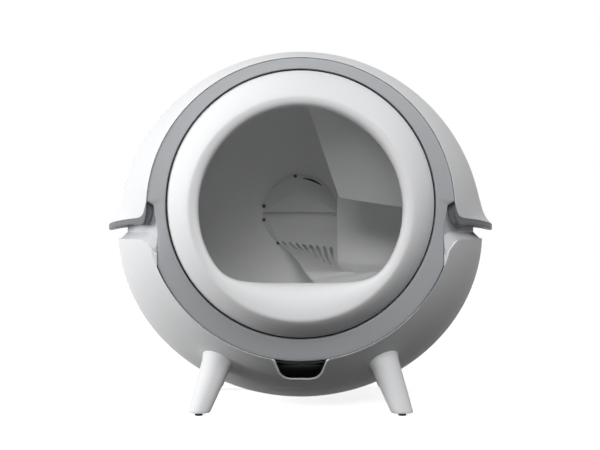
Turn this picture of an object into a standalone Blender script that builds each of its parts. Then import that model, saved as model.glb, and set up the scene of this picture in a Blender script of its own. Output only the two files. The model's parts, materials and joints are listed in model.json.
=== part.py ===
# A round self cleaning litter box on four splayed legs: a rotating globe with a sieve inside a
# white casing, a lift-off hood with side wings, and a waste drawer under the globe.
# Metres, +Z up, front towards -Y. Origin: on the ground, under the centre of the whole object.

import math

import bmesh
import bpy
import numpy as np

# Clearances
SEAT_GAP = 0.0003
PANEL_SEAM = 0.0004
RUN_GAP = 0.0008
CUT_OVERRUN = 0.004
WELD = 0.000005
SHARP_ANGLE = math.radians(32)

# Globe: its radius drives the size of everything round it
GLOBE_RADIUS = 0.228
GLOBE_WALL = 0.003
GLOBE_WIDEST_DEPTH = -0.020
GLOBE_JOINT_SET_BACK = 0.014
GLOBE_BACK_SEMI_AXIS = 0.197
GLOBE_BACK_FLAT_RADIUS = 0.078
GLOBE_NECKING = 0.0305
GLOBE_JOINT_STEP = 0.0032
GLOBE_FLANGE_WIDTH = 0.006
GLOBE_FLANGE_DEPTH = 0.004
FRONT_GAP_WIDTH = 0.0036
TRACK_SET_BACK = 0.035
TRACK_STEP = 0.0237
TRACK_WIDTH = 0.014

# Casing: room left round the globe, and the wall
CASING_WALL = 0.003
AXIS_RISE = 0.0437
GLOBE_TOP_ROOM = 0.0113
GLOBE_SIDE_ROOM = 0.059
GLOBE_UNDER_ROOM = 0.0742
GROUND_ROOM = 0.0089
BACK_ROOM = 0.0300
BODY_FRONT_DEPTH = 0.200

# Grey ring round the front
RING_SIDE_WIDTH = 0.0265
RING_DROP = 0.0081
RING_FIT = 0.0005
RING_DEPTH = 0.012
RING_BULGE = 0.0028
RING_EDGE_ROUND = 0.003
RING_INNER_RECESS = 0.002
RECESS_TAPER_SHARE = 0.33

# Front lip of the globe, round the entry
RIDGE_DROP = 0.0073
RIDGE_WIDTH = 0.036
RIDGE_REACH = 0.040
LIP_EDGE_SET_BACK = 0.001
ENTRY_DROP = 0.0078
LIP_ROLL_WIDTH = 0.0135
ENTRY_SILL_DROP = 0.1084
LIP_WALL = 0.003
LIP_THROAT = 0.008
ENTRY_SHARPNESS = 12
LIP_ROLL_SLOPE_SHARE = 0.85
LIP_ROLL_SHARES = (0.5, 0.32)
LIP_FRONT_SHARES = ((0.40, 0.62), (0.75, 0.93), (1.0, 1.0))
LIP_BACK_SHARES = (0.5, 0.5)
LIP_SEAT_SHARE = 0.2
LIP_WALL_SHARE = 1.2

# Hood edge, wings and trim
HOOD_EDGE_RISE = 0.0146
HOOD_EDGE_FRONT_RISE = 0.031
HOOD_EDGE_RISE_LENGTH = 0.050
WING_REACH = 0.0168
WING_FADE = 0.0135
WING_CENTRE_DEPTH = -0.030
WING_HALF_LENGTH = 0.165
TRIM_OUTER_DROP = 0.0085
TRIM_INNER_DROP = 0.0035
TRIM_ROUND = 0.0016
TRIM_LAP = 0.0005

# Grey neck between the hood and the lower shell
SHELL_EDGE_DROP = 0.0084
SHELL_EDGE_FRONT_DROP = 0.012
SHELL_EDGE_DROP_LENGTH = 0.025
NECK_INSET = 0.014
NECK_FRONT_INSET = 0.017
NECK_WAIST_RISE = 0.0016
NECK_TOP_LAP = 0.013
NECK_WALL = 0.003
NECK_RIM_INSET = 0.0005

# Legs and pads
LEG_TOP_INSET = 0.1695
LEG_TOP_DROP = 0.1804
LEG_TOP_FRONT_INSET = 0.044
LEG_TOP_BACK_INSET = 0.138
LEG_SPLAY = 0.0308
LEG_FRONT_SPLAY = 0.014
LEG_BACK_SPLAY = 0.018
LEG_FOOT_RADIUS = 0.0167
LEG_TOP_RADIUS = 0.0252
LEG_SINK_SHARE = 0.35
PAD_RADIUS = 0.0060
PAD_HEIGHT = 0.0042
PAD_ROUND = 0.0008

# Waste drawer
DRAWER_PANEL_HALF_WIDTH = 0.090
DRAWER_SIDE_STEP = 0.005
DRAWER_PANEL_LIP = 0.0012
DRAWER_TOP_ROOM = 0.0026
DRAWER_DEPTH = 0.0388
DRAWER_BACK_DEPTH = 0.068
DRAWER_WALL = 0.0025
DRAWER_PANEL_BACK = -0.060
NOTCH_TOP_HALF_WIDTH = 0.0435
NOTCH_BOTTOM_HALF_WIDTH = 0.0250
NOTCH_DEPTH = 0.0135
NOTCH_CORNER = 0.010
NOTCH_FLARE = 0.006
RAIL_OFFSET = 0.060
RAIL_WIDTH = 0.012
RAIL_FRONT_DEPTH = -0.045
RAIL_BACK_DEPTH = 0.064

# Deck under the globe
DECK_RUN_ROOM = 0.006
DECK_WALL = 0.003
DECK_TROUGH_HALF_WIDTH = 0.170
DECK_SET_BACK = 0.020
DECK_BACK_DEPTH = 0.215
DROP_HALF_WIDTH = 0.074
DROP_FRONT_DEPTH = -0.125
DROP_BACK_DEPTH = 0.055

# Front support rollers
ROLLER_RADIUS = 0.010
ROLLER_LENGTH = 0.016
ROLLER_ANGLE = math.radians(35)
ROLLER_BORE_GAP = 0.0003
AXLE_RADIUS = 0.003
AXLE_OVERHANG = 0.001
ROLLER_SIDE_GAP = 0.0005
EAR_WALL = 0.003
EAR_HALF_WIDTH = 0.0075
EAR_TOP_MARGIN = 0.0055
BRACKET_BASE = 0.006
BRACKET_BASE_SHARE = 0.33

# Rear drive: gear on the globe, pinion, bearing, bracket, gearbox and motor
GEAR_MODULE = 0.003
GEAR_TEETH = 60
PINION_TEETH = 12
GEAR_THICKNESS = 0.006
TOOTH_CLEARANCE = 0.0003
TOOTH_TIP_SHARE = 0.90
TOOTH_ROOT_SHARE = 1.15
TOOTH_TIP_WIDTH_SHARE = 0.13
TOOTH_ROOT_WIDTH_SHARE = 0.36
SHAFT_FLANGE_RADIUS = 0.022
SHAFT_FLANGE_THICKNESS = 0.003
SHAFT_RADIUS = 0.008
BEARING_OUTER_RADIUS = 0.016
BEARING_LENGTH = 0.010
BRACKET_GAP = 0.006
BRACKET_THICKNESS = 0.008
BRACKET_HEAD_RADIUS = 0.030
BRACKET_FOOT_HALF_WIDTH = 0.070
SHAFT_OVERHANG = 0.004
PINION_SHAFT_RADIUS = 0.004
PINION_SHAFT_REACH = 0.005
GEARBOX_WIDTH = 0.060
GEARBOX_HEIGHT = 0.050
GEARBOX_DEPTH = 0.020
MOTOR_RADIUS = 0.0165
MOTOR_LENGTH = 0.034
BOARD_WIDTH = 0.070
BOARD_HEIGHT = 0.046
BOARD_THICKNESS = 0.0016
BOARD_CENTRE_DROP = 0.050
CHIP_SIZE = 0.012
CHIP_THICKNESS = 0.002
SENSOR_RADIUS = 0.055
SENSOR_WIDTH = 0.008
SENSOR_HEIGHT = 0.010
SENSOR_THICKNESS = 0.003
MAGNET_RADIUS = 0.004
MAGNET_THICKNESS = 0.002

# Power inlet and power button on the back
PORT_OFFSET = 0.060
PORT_DROP = 0.0654
INLET_RADIUS = 0.0082
INLET_BORE_RADIUS = 0.0036
INLET_BORE_DEPTH = 0.012
INLET_BODY_RADIUS = 0.012
INLET_LENGTH = 0.026
BUTTON_RADIUS = 0.008
BUTTON_PROUD = 0.0022
BUTTON_TRAVEL = 0.0015
BUTTON_LENGTH = 0.012
SWITCH_BODY_RADIUS = 0.013
SWITCH_FLOOR = 0.004

# Hub plates inside the globe, with their screws
HUB_RADIUS = 0.0643
HUB_DROP = 0.0099
HUB_THICKNESS = 0.004
HUB_SEAM = 0.0010
HUB_LUG_RADIUS = 0.0052
HUB_SLOT_RADIUS = 0.0585
HUB_SLOT_WIDTH = 0.0026
HUB_SCREW_ANGLES = (98.0, 169.5, 190.6, 233.4)
HUB_SLOT_ANGLES = (52.0, 88.0)
SCREW_HEAD_RADIUS = 0.0030
SCREW_HEAD_HEIGHT = 0.0018
SCREW_CROWN_SHARE = 0.8
SCREW_SHANK_RADIUS = 0.0015
SCREW_SHANK_LENGTH = 0.0062

# Scoop with its sieve slots, and the flat roof over it
SCOOP_WALL = 0.0025
SCOOP_LEFT = -0.052
SCOOP_SIDE_OVERRUN = 0.023
SCOOP_TOP_DROP = 0.0111
SCOOP_BACK_GAP = 0.001
SCOOP_DROP_LEFT = 0.050
SCOOP_DROP = 0.101
SCOOP_REACH_LEFT = 0.040
SCOOP_REACH = 0.215
SCOOP_SPREAD = 0.072
SCOOP_FOLD = 0.0625
SCOOP_CURL_RADIUS = 0.110
SLOT_COUNT = 8
SLOT_WIDTH = 0.0066
SLOT_FIRST = -0.0225
SLOT_LAST = 0.0545
SLOT_START_DROP = 0.056
SLOT_END_SHARE = 0.935
SLOT_END_DROP_SHARE = 0.212
SLOT_START_RISE_SHARE = 0.25
ROOF_TIP_X = 0.0572
ROOF_TIP_RISE = 0.0224
ROOF_TOP_SHARES = (-0.3009, -0.6579, 0.8140)
ROOF_SIDE_SHARES = (0.6079, -0.6140, -0.1658)
ROOF_WALL = 0.0025
WASTE_PORT_ANGLE = math.radians(28)
WASTE_PORT_HALF_WIDTH = 0.050
WASTE_PORT_FRONT = -0.085
WASTE_PORT_BACK = 0.060

# Segment counts
ROUND_STEPS = 36
RING_STEPS = 48
SMALL_STEPS = 16
ROUND_LEG_STEPS = 24
SHAFT_STEPS = 24
HOLE_STEPS = 10
CORNER_STEPS = 5
DECK_STEPS = 22
HUB_STEPS = 26
HUB_SLOT_STEPS = 8
BRACKET_STEPS = 12
GLOBE_FRONT_ROWS = 5
GLOBE_BACK_ROWS = 6
SCOOP_COLUMNS = 18
SCOOP_ROWS = 9
FRONT_STATIONS = 6
BACK_STATIONS = 20
HOOD_ROWS = 10
SHELL_ROWS = 8
RECESS_STEPS = 2
ROW_CROWDING = 1.25

# Worked out from the sizes above: first what stands a set way behind or before the front plane
GLOBE_JOINT_DEPTH = GLOBE_JOINT_SET_BACK - BODY_FRONT_DEPTH
TRACK_DEPTH = TRACK_SET_BACK - BODY_FRONT_DEPTH
LIP_EDGE_DEPTH = LIP_EDGE_SET_BACK - BODY_FRONT_DEPTH
RIDGE_DEPTH = -RIDGE_REACH - BODY_FRONT_DEPTH
DECK_FRONT_DEPTH = DECK_SET_BACK - BODY_FRONT_DEPTH

# Then the casing round the globe
FRONT_GAP_RADIUS = GLOBE_RADIUS - GLOBE_NECKING
RING_RADIUS = FRONT_GAP_RADIUS + RING_SIDE_WIDTH
RIM_RADIUS = RING_RADIUS + RING_FIT + CASING_WALL
RIDGE_RADIUS = FRONT_GAP_RADIUS - RIDGE_WIDTH
ENTRY_RADIUS = RIDGE_RADIUS - LIP_ROLL_WIDTH
TRACK_RADIUS = GLOBE_RADIUS - TRACK_STEP
BODY_HALF_WIDTH = GLOBE_RADIUS + GLOBE_SIDE_ROOM + CASING_WALL
BODY_UPPER_HEIGHT = AXIS_RISE + GLOBE_RADIUS + GLOBE_TOP_ROOM + CASING_WALL
BODY_LOWER_HEIGHT = GLOBE_RADIUS - AXIS_RISE + GLOBE_UNDER_ROOM + CASING_WALL
BODY_CENTRE_HEIGHT = GROUND_ROOM + BODY_LOWER_HEIGHT
GLOBE_AXIS_HEIGHT = BODY_CENTRE_HEIGHT + AXIS_RISE
RING_CENTRE_HEIGHT = GLOBE_AXIS_HEIGHT - RING_DROP
RIDGE_CENTRE_HEIGHT = GLOBE_AXIS_HEIGHT - RIDGE_DROP
ENTRY_CENTRE_HEIGHT = GLOBE_AXIS_HEIGHT - ENTRY_DROP
HUB_CENTRE_HEIGHT = GLOBE_AXIS_HEIGHT - HUB_DROP
SCOOP_TOP_HEIGHT = GLOBE_AXIS_HEIGHT - SCOOP_TOP_DROP
HOOD_EDGE_HEIGHT = BODY_CENTRE_HEIGHT + HOOD_EDGE_RISE
SHELL_EDGE_HEIGHT = BODY_CENTRE_HEIGHT - SHELL_EDGE_DROP
NECK_WAIST_HEIGHT = BODY_CENTRE_HEIGHT + NECK_WAIST_RISE
PORT_HEIGHT = BODY_CENTRE_HEIGHT - PORT_DROP
DECK_RADIUS = GLOBE_RADIUS + DECK_RUN_ROOM
DRAWER_TOP_HEIGHT = GLOBE_AXIS_HEIGHT - DECK_RADIUS - DECK_WALL - DRAWER_TOP_ROOM
DRAWER_FLOOR_HEIGHT = DRAWER_TOP_HEIGHT - DRAWER_DEPTH
DRAWER_PANEL_HEIGHT = DRAWER_FLOOR_HEIGHT - DRAWER_PANEL_LIP
DRAWER_HALF_WIDTH = DRAWER_PANEL_HALF_WIDTH - DRAWER_SIDE_STEP
NOTCH_FLOOR_HEIGHT = DRAWER_TOP_HEIGHT - NOTCH_DEPTH
SCOOP_RIGHT = GLOBE_RADIUS - SCOOP_SIDE_OVERRUN
JOINT_RADIUS = FRONT_GAP_RADIUS - FRONT_GAP_WIDTH / 2 - GLOBE_JOINT_STEP
GLOBE_FRONT_SEMI_AXIS = (GLOBE_WIDEST_DEPTH - GLOBE_JOINT_DEPTH) / math.sqrt(
    1 - (JOINT_RADIUS / GLOBE_RADIUS) ** 2)

# Then the drive stacked behind the globe, which sets the depth of the casing
GLOBE_BACK_DEPTH = GLOBE_WIDEST_DEPTH + GLOBE_BACK_SEMI_AXIS * math.sqrt(
    1 - (GLOBE_BACK_FLAT_RADIUS / GLOBE_RADIUS) ** 2)
GEAR_STACK = SEAT_GAP + GEAR_THICKNESS + BRACKET_GAP + BRACKET_THICKNESS
MOTOR_STACK = SEAT_GAP + GEARBOX_DEPTH + SEAT_GAP + MOTOR_LENGTH
BODY_BACK_DEPTH = GLOBE_BACK_DEPTH + GEAR_STACK + MOTOR_STACK + BACK_ROOM
MID_Y = (-RIDGE_DEPTH - BODY_BACK_DEPTH) / 2
FRONT_Y = MID_Y - BODY_FRONT_DEPTH
GLOBE_BACK_Y = MID_Y + GLOBE_BACK_DEPTH
GEAR_Y = GLOBE_BACK_Y + SEAT_GAP
GEAR_BACK_Y = GEAR_Y + GEAR_THICKNESS
GEAR_RADIUS = GEAR_MODULE * GEAR_TEETH / 2
PINION_RADIUS = GEAR_MODULE * PINION_TEETH / 2
PINION_HEIGHT = GLOBE_AXIS_HEIGHT - GEAR_RADIUS - PINION_RADIUS
BRACKET_Y = GEAR_BACK_Y + BRACKET_GAP
BRACKET_BACK_Y = BRACKET_Y + BRACKET_THICKNESS
GLOBE_INNER_BACK_Y = GLOBE_BACK_Y - GLOBE_WALL
HUB_FRONT_Y = GLOBE_INNER_BACK_Y - SEAT_GAP - HUB_THICKNESS
SCOOP_BACK_Y = HUB_FRONT_Y - SCOOP_BACK_GAP
ROLLER_ORBIT = TRACK_RADIUS + SEAT_GAP + ROLLER_RADIUS


def clear_scene():
    for item in list(bpy.data.objects):
        bpy.data.objects.remove(item, do_unlink=True)


def material(name, colour, roughness, metallic=0.0):
    made = bpy.data.materials.new(name)
    made.use_nodes = True
    shader = made.node_tree.nodes["Principled BSDF"]
    shader.inputs["Base Color"].default_value = (*colour, 1.0)
    shader.inputs["Roughness"].default_value = roughness
    shader.inputs["Metallic"].default_value = metallic
    return made


# Mesh helpers
def mesh_object(name, points, faces, finish=None, origin=(0, 0, 0)):
    mesh = bpy.data.meshes.new(name)
    shifted = [tuple(np.subtract(point, origin)) for point in points]
    mesh.from_pydata(shifted, [], faces)
    work = bmesh.new()
    work.from_mesh(mesh)
    bmesh.ops.remove_doubles(work, verts=work.verts, dist=WELD)
    bmesh.ops.dissolve_degenerate(work, edges=work.edges, dist=WELD)
    bmesh.ops.recalc_face_normals(work, faces=work.faces)
    work.to_mesh(mesh)
    work.free()
    item = bpy.data.objects.new(name, mesh)
    item.location = origin
    bpy.context.scene.collection.objects.link(item)
    mesh.shade_smooth()
    mesh.set_sharp_from_angle(angle=SHARP_ANGLE)
    if finish is not None:
        mesh.materials.append(finish)
    return item


def as_cutter(item):
    item.hide_render = True
    item.display_type = "WIRE"
    return item


def combine(item, cutter, operation):
    modifier = item.modifiers.new(operation.lower() + "_" + cutter.name, "BOOLEAN")
    modifier.operation = operation
    modifier.solver = "EXACT"
    modifier.object = as_cutter(cutter)
    return item


def cut(item, cutter):
    return combine(item, cutter, "DIFFERENCE")


def keep_inside(item, cutter):
    return combine(item, cutter, "INTERSECT")


def join(item, cutter):
    return combine(item, cutter, "UNION")


def grid_faces(rows, columns, offset=0, wrap_columns=False):
    faces = []
    for row in range(rows - 1):
        for column in range(columns if wrap_columns else columns - 1):
            following = (column + 1) % columns
            low = offset + row * columns
            high = low + columns
            faces.append((low + column, low + following, high + following, high + column))
    return faces


def shell_between(name, outer, inner, finish, crown=False, origin=(0, 0, 0)):
    """Closed wall between two grids of points; with a crown, the last row folds together on itself."""
    rows = len(outer)
    columns = len(outer[0])
    points = [point for row in outer for point in row] + [point for row in inner for point in row]
    count = rows * columns
    faces = grid_faces(rows, columns) + grid_faces(rows, columns, count)
    border = [row * columns for row in range(rows - 1, 0, -1)] + list(range(columns))
    border += [row * columns + columns - 1 for row in range(1, rows)]
    if not crown:
        border += [(rows - 1) * columns + column for column in range(columns - 2, -1, -1)]
    for first, second in zip(border, border[1:]):
        faces.append((first, second, second + count, first + count))
    return mesh_object(name, points, faces, finish, origin)


def loft(name, sections, finish=None, closed=False, origin=(0, 0, 0)):
    """Closed solid through closed outlines of equal length, capped at its ends unless it closes."""
    columns = len(sections[0])
    points = [point for section in sections for point in section]
    rows = list(sections) + ([sections[0]] if closed else [])
    faces = []
    for row in range(len(rows) - 1):
        low = row * columns
        high = (row + 1) % len(sections) * columns
        for column in range(columns):
            following = (column + 1) % columns
            faces.append((low + column, low + following, high + following, high + column))
    if not closed:
        last = (len(sections) - 1) * columns
        faces.append(tuple(range(columns)))
        faces.append(tuple(last + column for column in range(columns)))
    return mesh_object(name, points, faces, finish, origin)


def turned(name, profile, centre, steps, finish=None, origin=None):
    """Turns a closed profile of (radius, y) points round a line along Y through centre (x, z)."""
    sections = []
    for step in range(steps):
        angle = 2 * math.pi * step / steps
        sections.append([(centre[0] + radius * math.cos(angle), depth,
                          centre[1] + radius * math.sin(angle)) for radius, depth in profile])
    return loft(name, sections, finish, closed=True, origin=origin or (centre[0], 0, centre[1]))


def rod(name, radius, low_y, high_y, centre, steps, finish=None, origin=None):
    """Plain round bar along Y."""
    ends = []
    for depth in (low_y, high_y):
        ends.append([(centre[0] + radius * math.cos(2 * math.pi * step / steps), depth,
                      centre[1] + radius * math.sin(2 * math.pi * step / steps)) for step in range(steps)])
    return loft(name, ends, finish, origin=origin or (centre[0], low_y, centre[1]))


def block(name, low, high, finish=None, origin=None):
    ends = []
    for depth in (low[1], high[1]):
        ends.append([(low[0], depth, low[2]), (high[0], depth, low[2]),
                     (high[0], depth, high[2]), (low[0], depth, high[2])])
    return loft(name, ends, finish, origin=origin or low)


def box_set(name, boxes):
    """Several separate boxes, each given by its two corners, as one mesh for a single cut."""
    points = []
    faces = []
    for low, high in boxes:
        first = len(points)
        for z in (low[2], high[2]):
            points += [(low[0], low[1], z), (high[0], low[1], z), (high[0], high[1], z), (low[0], high[1], z)]
        faces += [(first, first + 3, first + 2, first + 1), (first + 4, first + 5, first + 6, first + 7)]
        for corner in range(4):
            following = (corner + 1) % 4
            faces.append((first + corner, first + following, first + 4 + following, first + 4 + corner))
    return mesh_object(name, points, faces)


def plate(name, outline, low_y, high_y, finish=None, origin=(0, 0, 0)):
    """Flat piece with an (x, z) outline, between two depths."""
    ends = [[(x, depth, z) for x, z in outline] for depth in (low_y, high_y)]
    return loft(name, ends, finish, origin=origin)


def arc(centre, radius, start, end, steps):
    angles = np.linspace(start, end, steps + 1)
    return [(centre[0] + radius * math.cos(angle), centre[1] + radius * math.sin(angle)) for angle in angles]


def ease(share):
    share = min(max(share, 0.0), 1.0)
    return share * share * (3 - 2 * share)


# The casing's surface
def front_share(depth):
    """1 at the widest section, 0 at the front plane: a parabola between them."""
    return 1 - (depth / BODY_FRONT_DEPTH) ** 2


def body_point(station, height, inset, upper):
    """Point of the casing at a height, on a front section (side, depth) or a back direction."""
    tall = (BODY_UPPER_HEIGHT if upper else BODY_LOWER_HEIGHT) - inset
    if station[0] == "front":
        share = front_share(station[2])
        half_width = (1 - share) * (RIM_RADIUS - inset) + share * (BODY_HALF_WIDTH - inset)
        half_height = (1 - share) * (RIM_RADIUS - inset) + share * tall
        centre = (1 - share) * RING_CENTRE_HEIGHT + share * BODY_CENTRE_HEIGHT
        sine = max(-1.0, min(1.0, (height - centre) / half_height))
        x = station[1] * half_width * math.sqrt(1 - sine * sine)
        return x, MID_Y + station[2], centre + half_height * sine
    sine = max(-1.0, min(1.0, (height - BODY_CENTRE_HEIGHT) / tall))
    cosine = math.sqrt(1 - sine * sine)
    x = (BODY_HALF_WIDTH - inset) * cosine * math.cos(station[1])
    y = MID_Y + (BODY_BACK_DEPTH - inset) * cosine * math.sin(station[1])
    return x, y, BODY_CENTRE_HEIGHT + tall * sine


def body_extreme(station, inset, upper):
    """Height of the crown (or belly) line at a station."""
    tall = (BODY_UPPER_HEIGHT if upper else BODY_LOWER_HEIGHT) - inset
    sign = 1 if upper else -1
    if station[0] == "front":
        share = front_share(station[2])
        half_height = (1 - share) * (RIM_RADIUS - inset) + share * tall
        centre = (1 - share) * RING_CENTRE_HEIGHT + share * BODY_CENTRE_HEIGHT
        return centre, half_height, sign
    return BODY_CENTRE_HEIGHT, tall, sign


def stations():
    depths = [-BODY_FRONT_DEPTH * (1 - (step / FRONT_STATIONS) ** 1.25) for step in range(FRONT_STATIONS)]
    right = [("front", 1, depth) for depth in depths]
    left = [("front", -1, depth) for depth in reversed(depths)]
    back = [("back", math.pi * step / BACK_STATIONS) for step in range(BACK_STATIONS + 1)]
    return right + back + left


def hood_edge_height(station):
    if station[0] == "back":
        return HOOD_EDGE_HEIGHT
    rise_start = HOOD_EDGE_RISE_LENGTH - BODY_FRONT_DEPTH
    share = max(0.0, (rise_start - station[2]) / HOOD_EDGE_RISE_LENGTH)
    return HOOD_EDGE_HEIGHT + HOOD_EDGE_FRONT_RISE * share ** 3


def wing(point, station, height):
    """Moves a point outwards: the wing fades upwards from the hood's edge and along its length."""
    share = (point[1] - MID_Y - WING_CENTRE_DEPTH) / WING_HALF_LENGTH
    if abs(share) >= 1:
        return point
    window = math.cos(math.pi / 2 * share) ** 2
    above = max(0.0, height - hood_edge_height(station))
    reach = WING_REACH * window * math.exp(-above / WING_FADE)
    side = 1 if point[0] > 0 else -1
    return point[0] + side * reach, point[1], point[2]


def row_angle(station, inset, upper, share, edge):
    """Angle round a section, from the edge at share 0 to the crown or belly at share 1."""
    centre, half_height, sign = body_extreme(station, inset, upper)
    start = math.asin(max(-1.0, min(1.0, (edge(station) - centre) / half_height)))
    return start + (sign * math.pi / 2 - start) * share ** ROW_CROWDING


def body_grid(inset, upper, rows, edge, flared=False):
    """Rows run from the edge to the crown or belly, columns run round from the right front."""
    grid = []
    for row in range(rows + 1):
        line = []
        for station in stations():
            centre, half_height, _ = body_extreme(station, inset, upper)
            angle = row_angle(station, inset, upper, row / rows, edge)
            height = centre + half_height * math.sin(angle)
            point = body_point(station, height, inset, upper)
            line.append(wing(point, station, height) if flared else point)
        grid.append(line)
    return grid


def shell_edge_height(station):
    if station[0] == "back":
        return SHELL_EDGE_HEIGHT
    drop_start = SHELL_EDGE_DROP_LENGTH - BODY_FRONT_DEPTH
    share = max(0.0, (drop_start - station[2]) / SHELL_EDGE_DROP_LENGTH)
    return SHELL_EDGE_HEIGHT - SHELL_EDGE_FRONT_DROP * share ** 3


def lower_body_solid(name, inset):
    """Solid bowl as wide as the lower casing, moved inwards by inset, for trimming other pieces."""
    grid = body_grid(inset, False, SHELL_ROWS, shell_edge_height)
    columns = len(grid[0])
    points = [point for row in grid for point in row]
    faces = grid_faces(len(grid), columns)
    faces.append(tuple(range(columns)))
    right = [row * columns for row in range(len(grid))]
    left = [row * columns + columns - 1 for row in range(len(grid) - 2, -1, -1)]
    faces.append(tuple(right + left))
    return as_cutter(mesh_object(name, points, faces))


# Casing pieces
def make_hood(white):
    outer = body_grid(0, True, HOOD_ROWS, hood_edge_height, flared=True)
    inner = body_grid(CASING_WALL, True, HOOD_ROWS, hood_edge_height, flared=True)
    return shell_between("hood", outer, inner, white, crown=True)


def neck_inset(station):
    if station[0] == "back":
        return NECK_INSET
    return NECK_FRONT_INSET + (NECK_INSET - NECK_FRONT_INSET) * front_share(station[2])


def make_hood_trim(grey):
    sections = []
    for station in stations():
        edge = hood_edge_height(station) - SEAT_GAP
        inner = neck_inset(station) - RUN_GAP
        base = wing(body_point(station, edge, TRIM_LAP, True), station, 0)
        low = edge - TRIM_OUTER_DROP
        tip = wing(body_point(station, low + TRIM_ROUND, TRIM_LAP, True), station, 0)
        under = wing(body_point(station, low, TRIM_LAP + TRIM_ROUND, True), station, 0)
        inside_low = body_point(station, edge - TRIM_INNER_DROP, inner, True)
        inside_top = body_point(station, edge, inner, True)
        sections.append([base, tip, under, inside_low, inside_top])
    trim = loft("hood_trim", sections, grey)
    ring_room = rod("trim_ring_room", RING_RADIUS + RING_FIT, FRONT_Y - CUT_OVERRUN,
                    FRONT_Y + RING_DEPTH + SEAT_GAP, (0, RING_CENTRE_HEIGHT), 4 * ROUND_STEPS)
    return cut(trim, ring_room)


def make_neck(grey):
    sections = []
    for station in stations():
        top = hood_edge_height(station) + NECK_TOP_LAP
        inset = neck_inset(station)
        foot = shell_edge_height(station) + SEAT_GAP
        waist = foot + NECK_WAIST_HEIGHT - SHELL_EDGE_HEIGHT
        sections.append([
            body_point(station, top, inset, True),
            body_point(station, waist, inset, True),
            body_point(station, foot, NECK_RIM_INSET, False),
            body_point(station, foot, inset + NECK_WALL, False),
            body_point(station, top, inset + NECK_WALL, True)])
    clear = MID_Y - BODY_FRONT_DEPTH + RING_DEPTH + SEAT_GAP
    neck = loft("neck_frame", sections, grey)
    front = block("neck_front_cut", (-BODY_HALF_WIDTH, FRONT_Y - CUT_OVERRUN, 0),
                  (BODY_HALF_WIDTH, clear, BODY_CENTRE_HEIGHT + BODY_UPPER_HEIGHT))
    return cut(neck, front)


def rim_angles():
    """Directions of the corners of the casing's front rim, once round, for the ring to follow."""
    station = ("front", 1, -BODY_FRONT_DEPTH)
    upper = [row_angle(station, CASING_WALL, True, row / HOOD_ROWS, hood_edge_height)
             for row in range(HOOD_ROWS + 1)]
    lower = [row_angle(station, CASING_WALL, False, row / SHELL_ROWS, shell_edge_height)
             for row in range(SHELL_ROWS + 1)]
    recess = list(np.linspace(lower[0], upper[0], RECESS_STEPS + 2)[1:-1])
    step = (upper[0] - lower[0]) / (RECESS_STEPS + 1) / 4
    right = list(reversed(lower)) + [lower[0] + step] + recess + [upper[0] - step] + upper
    left = [math.pi - angle for angle in reversed(right[1:-1])]
    return right + left


def ring_outer_point(angle, depth):
    """Outer corner of the ring: the rim's circle, stepped in beside the neck and the hood trim."""
    radius = RING_RADIUS
    height = RING_CENTRE_HEIGHT + radius * math.sin(angle)
    front = ("front", 1, -BODY_FRONT_DEPTH)
    low = shell_edge_height(front)
    if low < height < hood_edge_height(front):
        radius -= (NECK_FRONT_INSET - CASING_WALL + RUN_GAP) * (1 - depth / RING_DEPTH * RECESS_TAPER_SHARE)
    return radius * math.cos(angle), FRONT_Y + depth, RING_CENTRE_HEIGHT + radius * math.sin(angle)


def make_front_ring(grey):
    inner_radius = FRONT_GAP_RADIUS + FRONT_GAP_WIDTH / 2
    profile_shares = ((0.0, RING_DEPTH), (0.0, RING_EDGE_ROUND), (0.10, 0.0), (0.50, -RING_BULGE),
                      (0.58, 0.0), (1.0, RING_INNER_RECESS), (1.0, RING_DEPTH))
    sections = []
    for angle in rim_angles():
        inner = (inner_radius * math.cos(angle), GLOBE_AXIS_HEIGHT + inner_radius * math.sin(angle))
        section = []
        for share, depth in profile_shares:
            outer = ring_outer_point(angle, max(0.0, depth))
            section.append((outer[0] + (inner[0] - outer[0]) * share, FRONT_Y + depth,
                            outer[2] + (inner[1] - outer[2]) * share))
        sections.append(section)
    return loft("front_ring", sections, grey, closed=True)


def make_front_seal(rubber):
    inner = FRONT_GAP_RADIUS - FRONT_GAP_WIDTH / 2 + RUN_GAP
    outer = inner + GLOBE_FLANGE_WIDTH
    low = FRONT_Y + RING_DEPTH + SEAT_GAP
    high = low + CASING_WALL
    profile = [(inner, low), (outer, low), (outer, high), (inner, high)]
    return turned("front_seal", profile, (0, GLOBE_AXIS_HEIGHT), RING_STEPS, rubber)


def drawer_window(name, grow):
    """Block that takes the drawer's panel out of the lower casing."""
    half = DRAWER_PANEL_HALF_WIDTH + grow
    top = RING_CENTRE_HEIGHT - math.sqrt(RIM_RADIUS ** 2 - half ** 2) + CUT_OVERRUN
    low = (-half, FRONT_Y - CUT_OVERRUN, DRAWER_PANEL_HEIGHT - grow)
    high = (half, MID_Y + DRAWER_PANEL_BACK + grow, top)
    return as_cutter(block(name, low, high))


def lower_shell_wall(name, finish):
    outer = body_grid(0, False, SHELL_ROWS, shell_edge_height)
    inner = body_grid(CASING_WALL, False, SHELL_ROWS, shell_edge_height)
    return shell_between(name, outer, inner, finish, crown=True)


def port_hole(name, side, radius):
    low = MID_Y + BODY_BACK_DEPTH / 2
    return rod(name, radius, low, MID_Y + BODY_BACK_DEPTH, (side * PORT_OFFSET, PORT_HEIGHT), SMALL_STEPS)


def make_lower_shell(white):
    shell = lower_shell_wall("lower_shell", white)
    cut(shell, drawer_window("drawer_window", PANEL_SEAM))
    cut(shell, port_hole("inlet_hole", 1, INLET_RADIUS + SEAT_GAP))
    cut(shell, port_hole("button_hole", -1, BUTTON_RADIUS + SEAT_GAP))
    return shell


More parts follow.
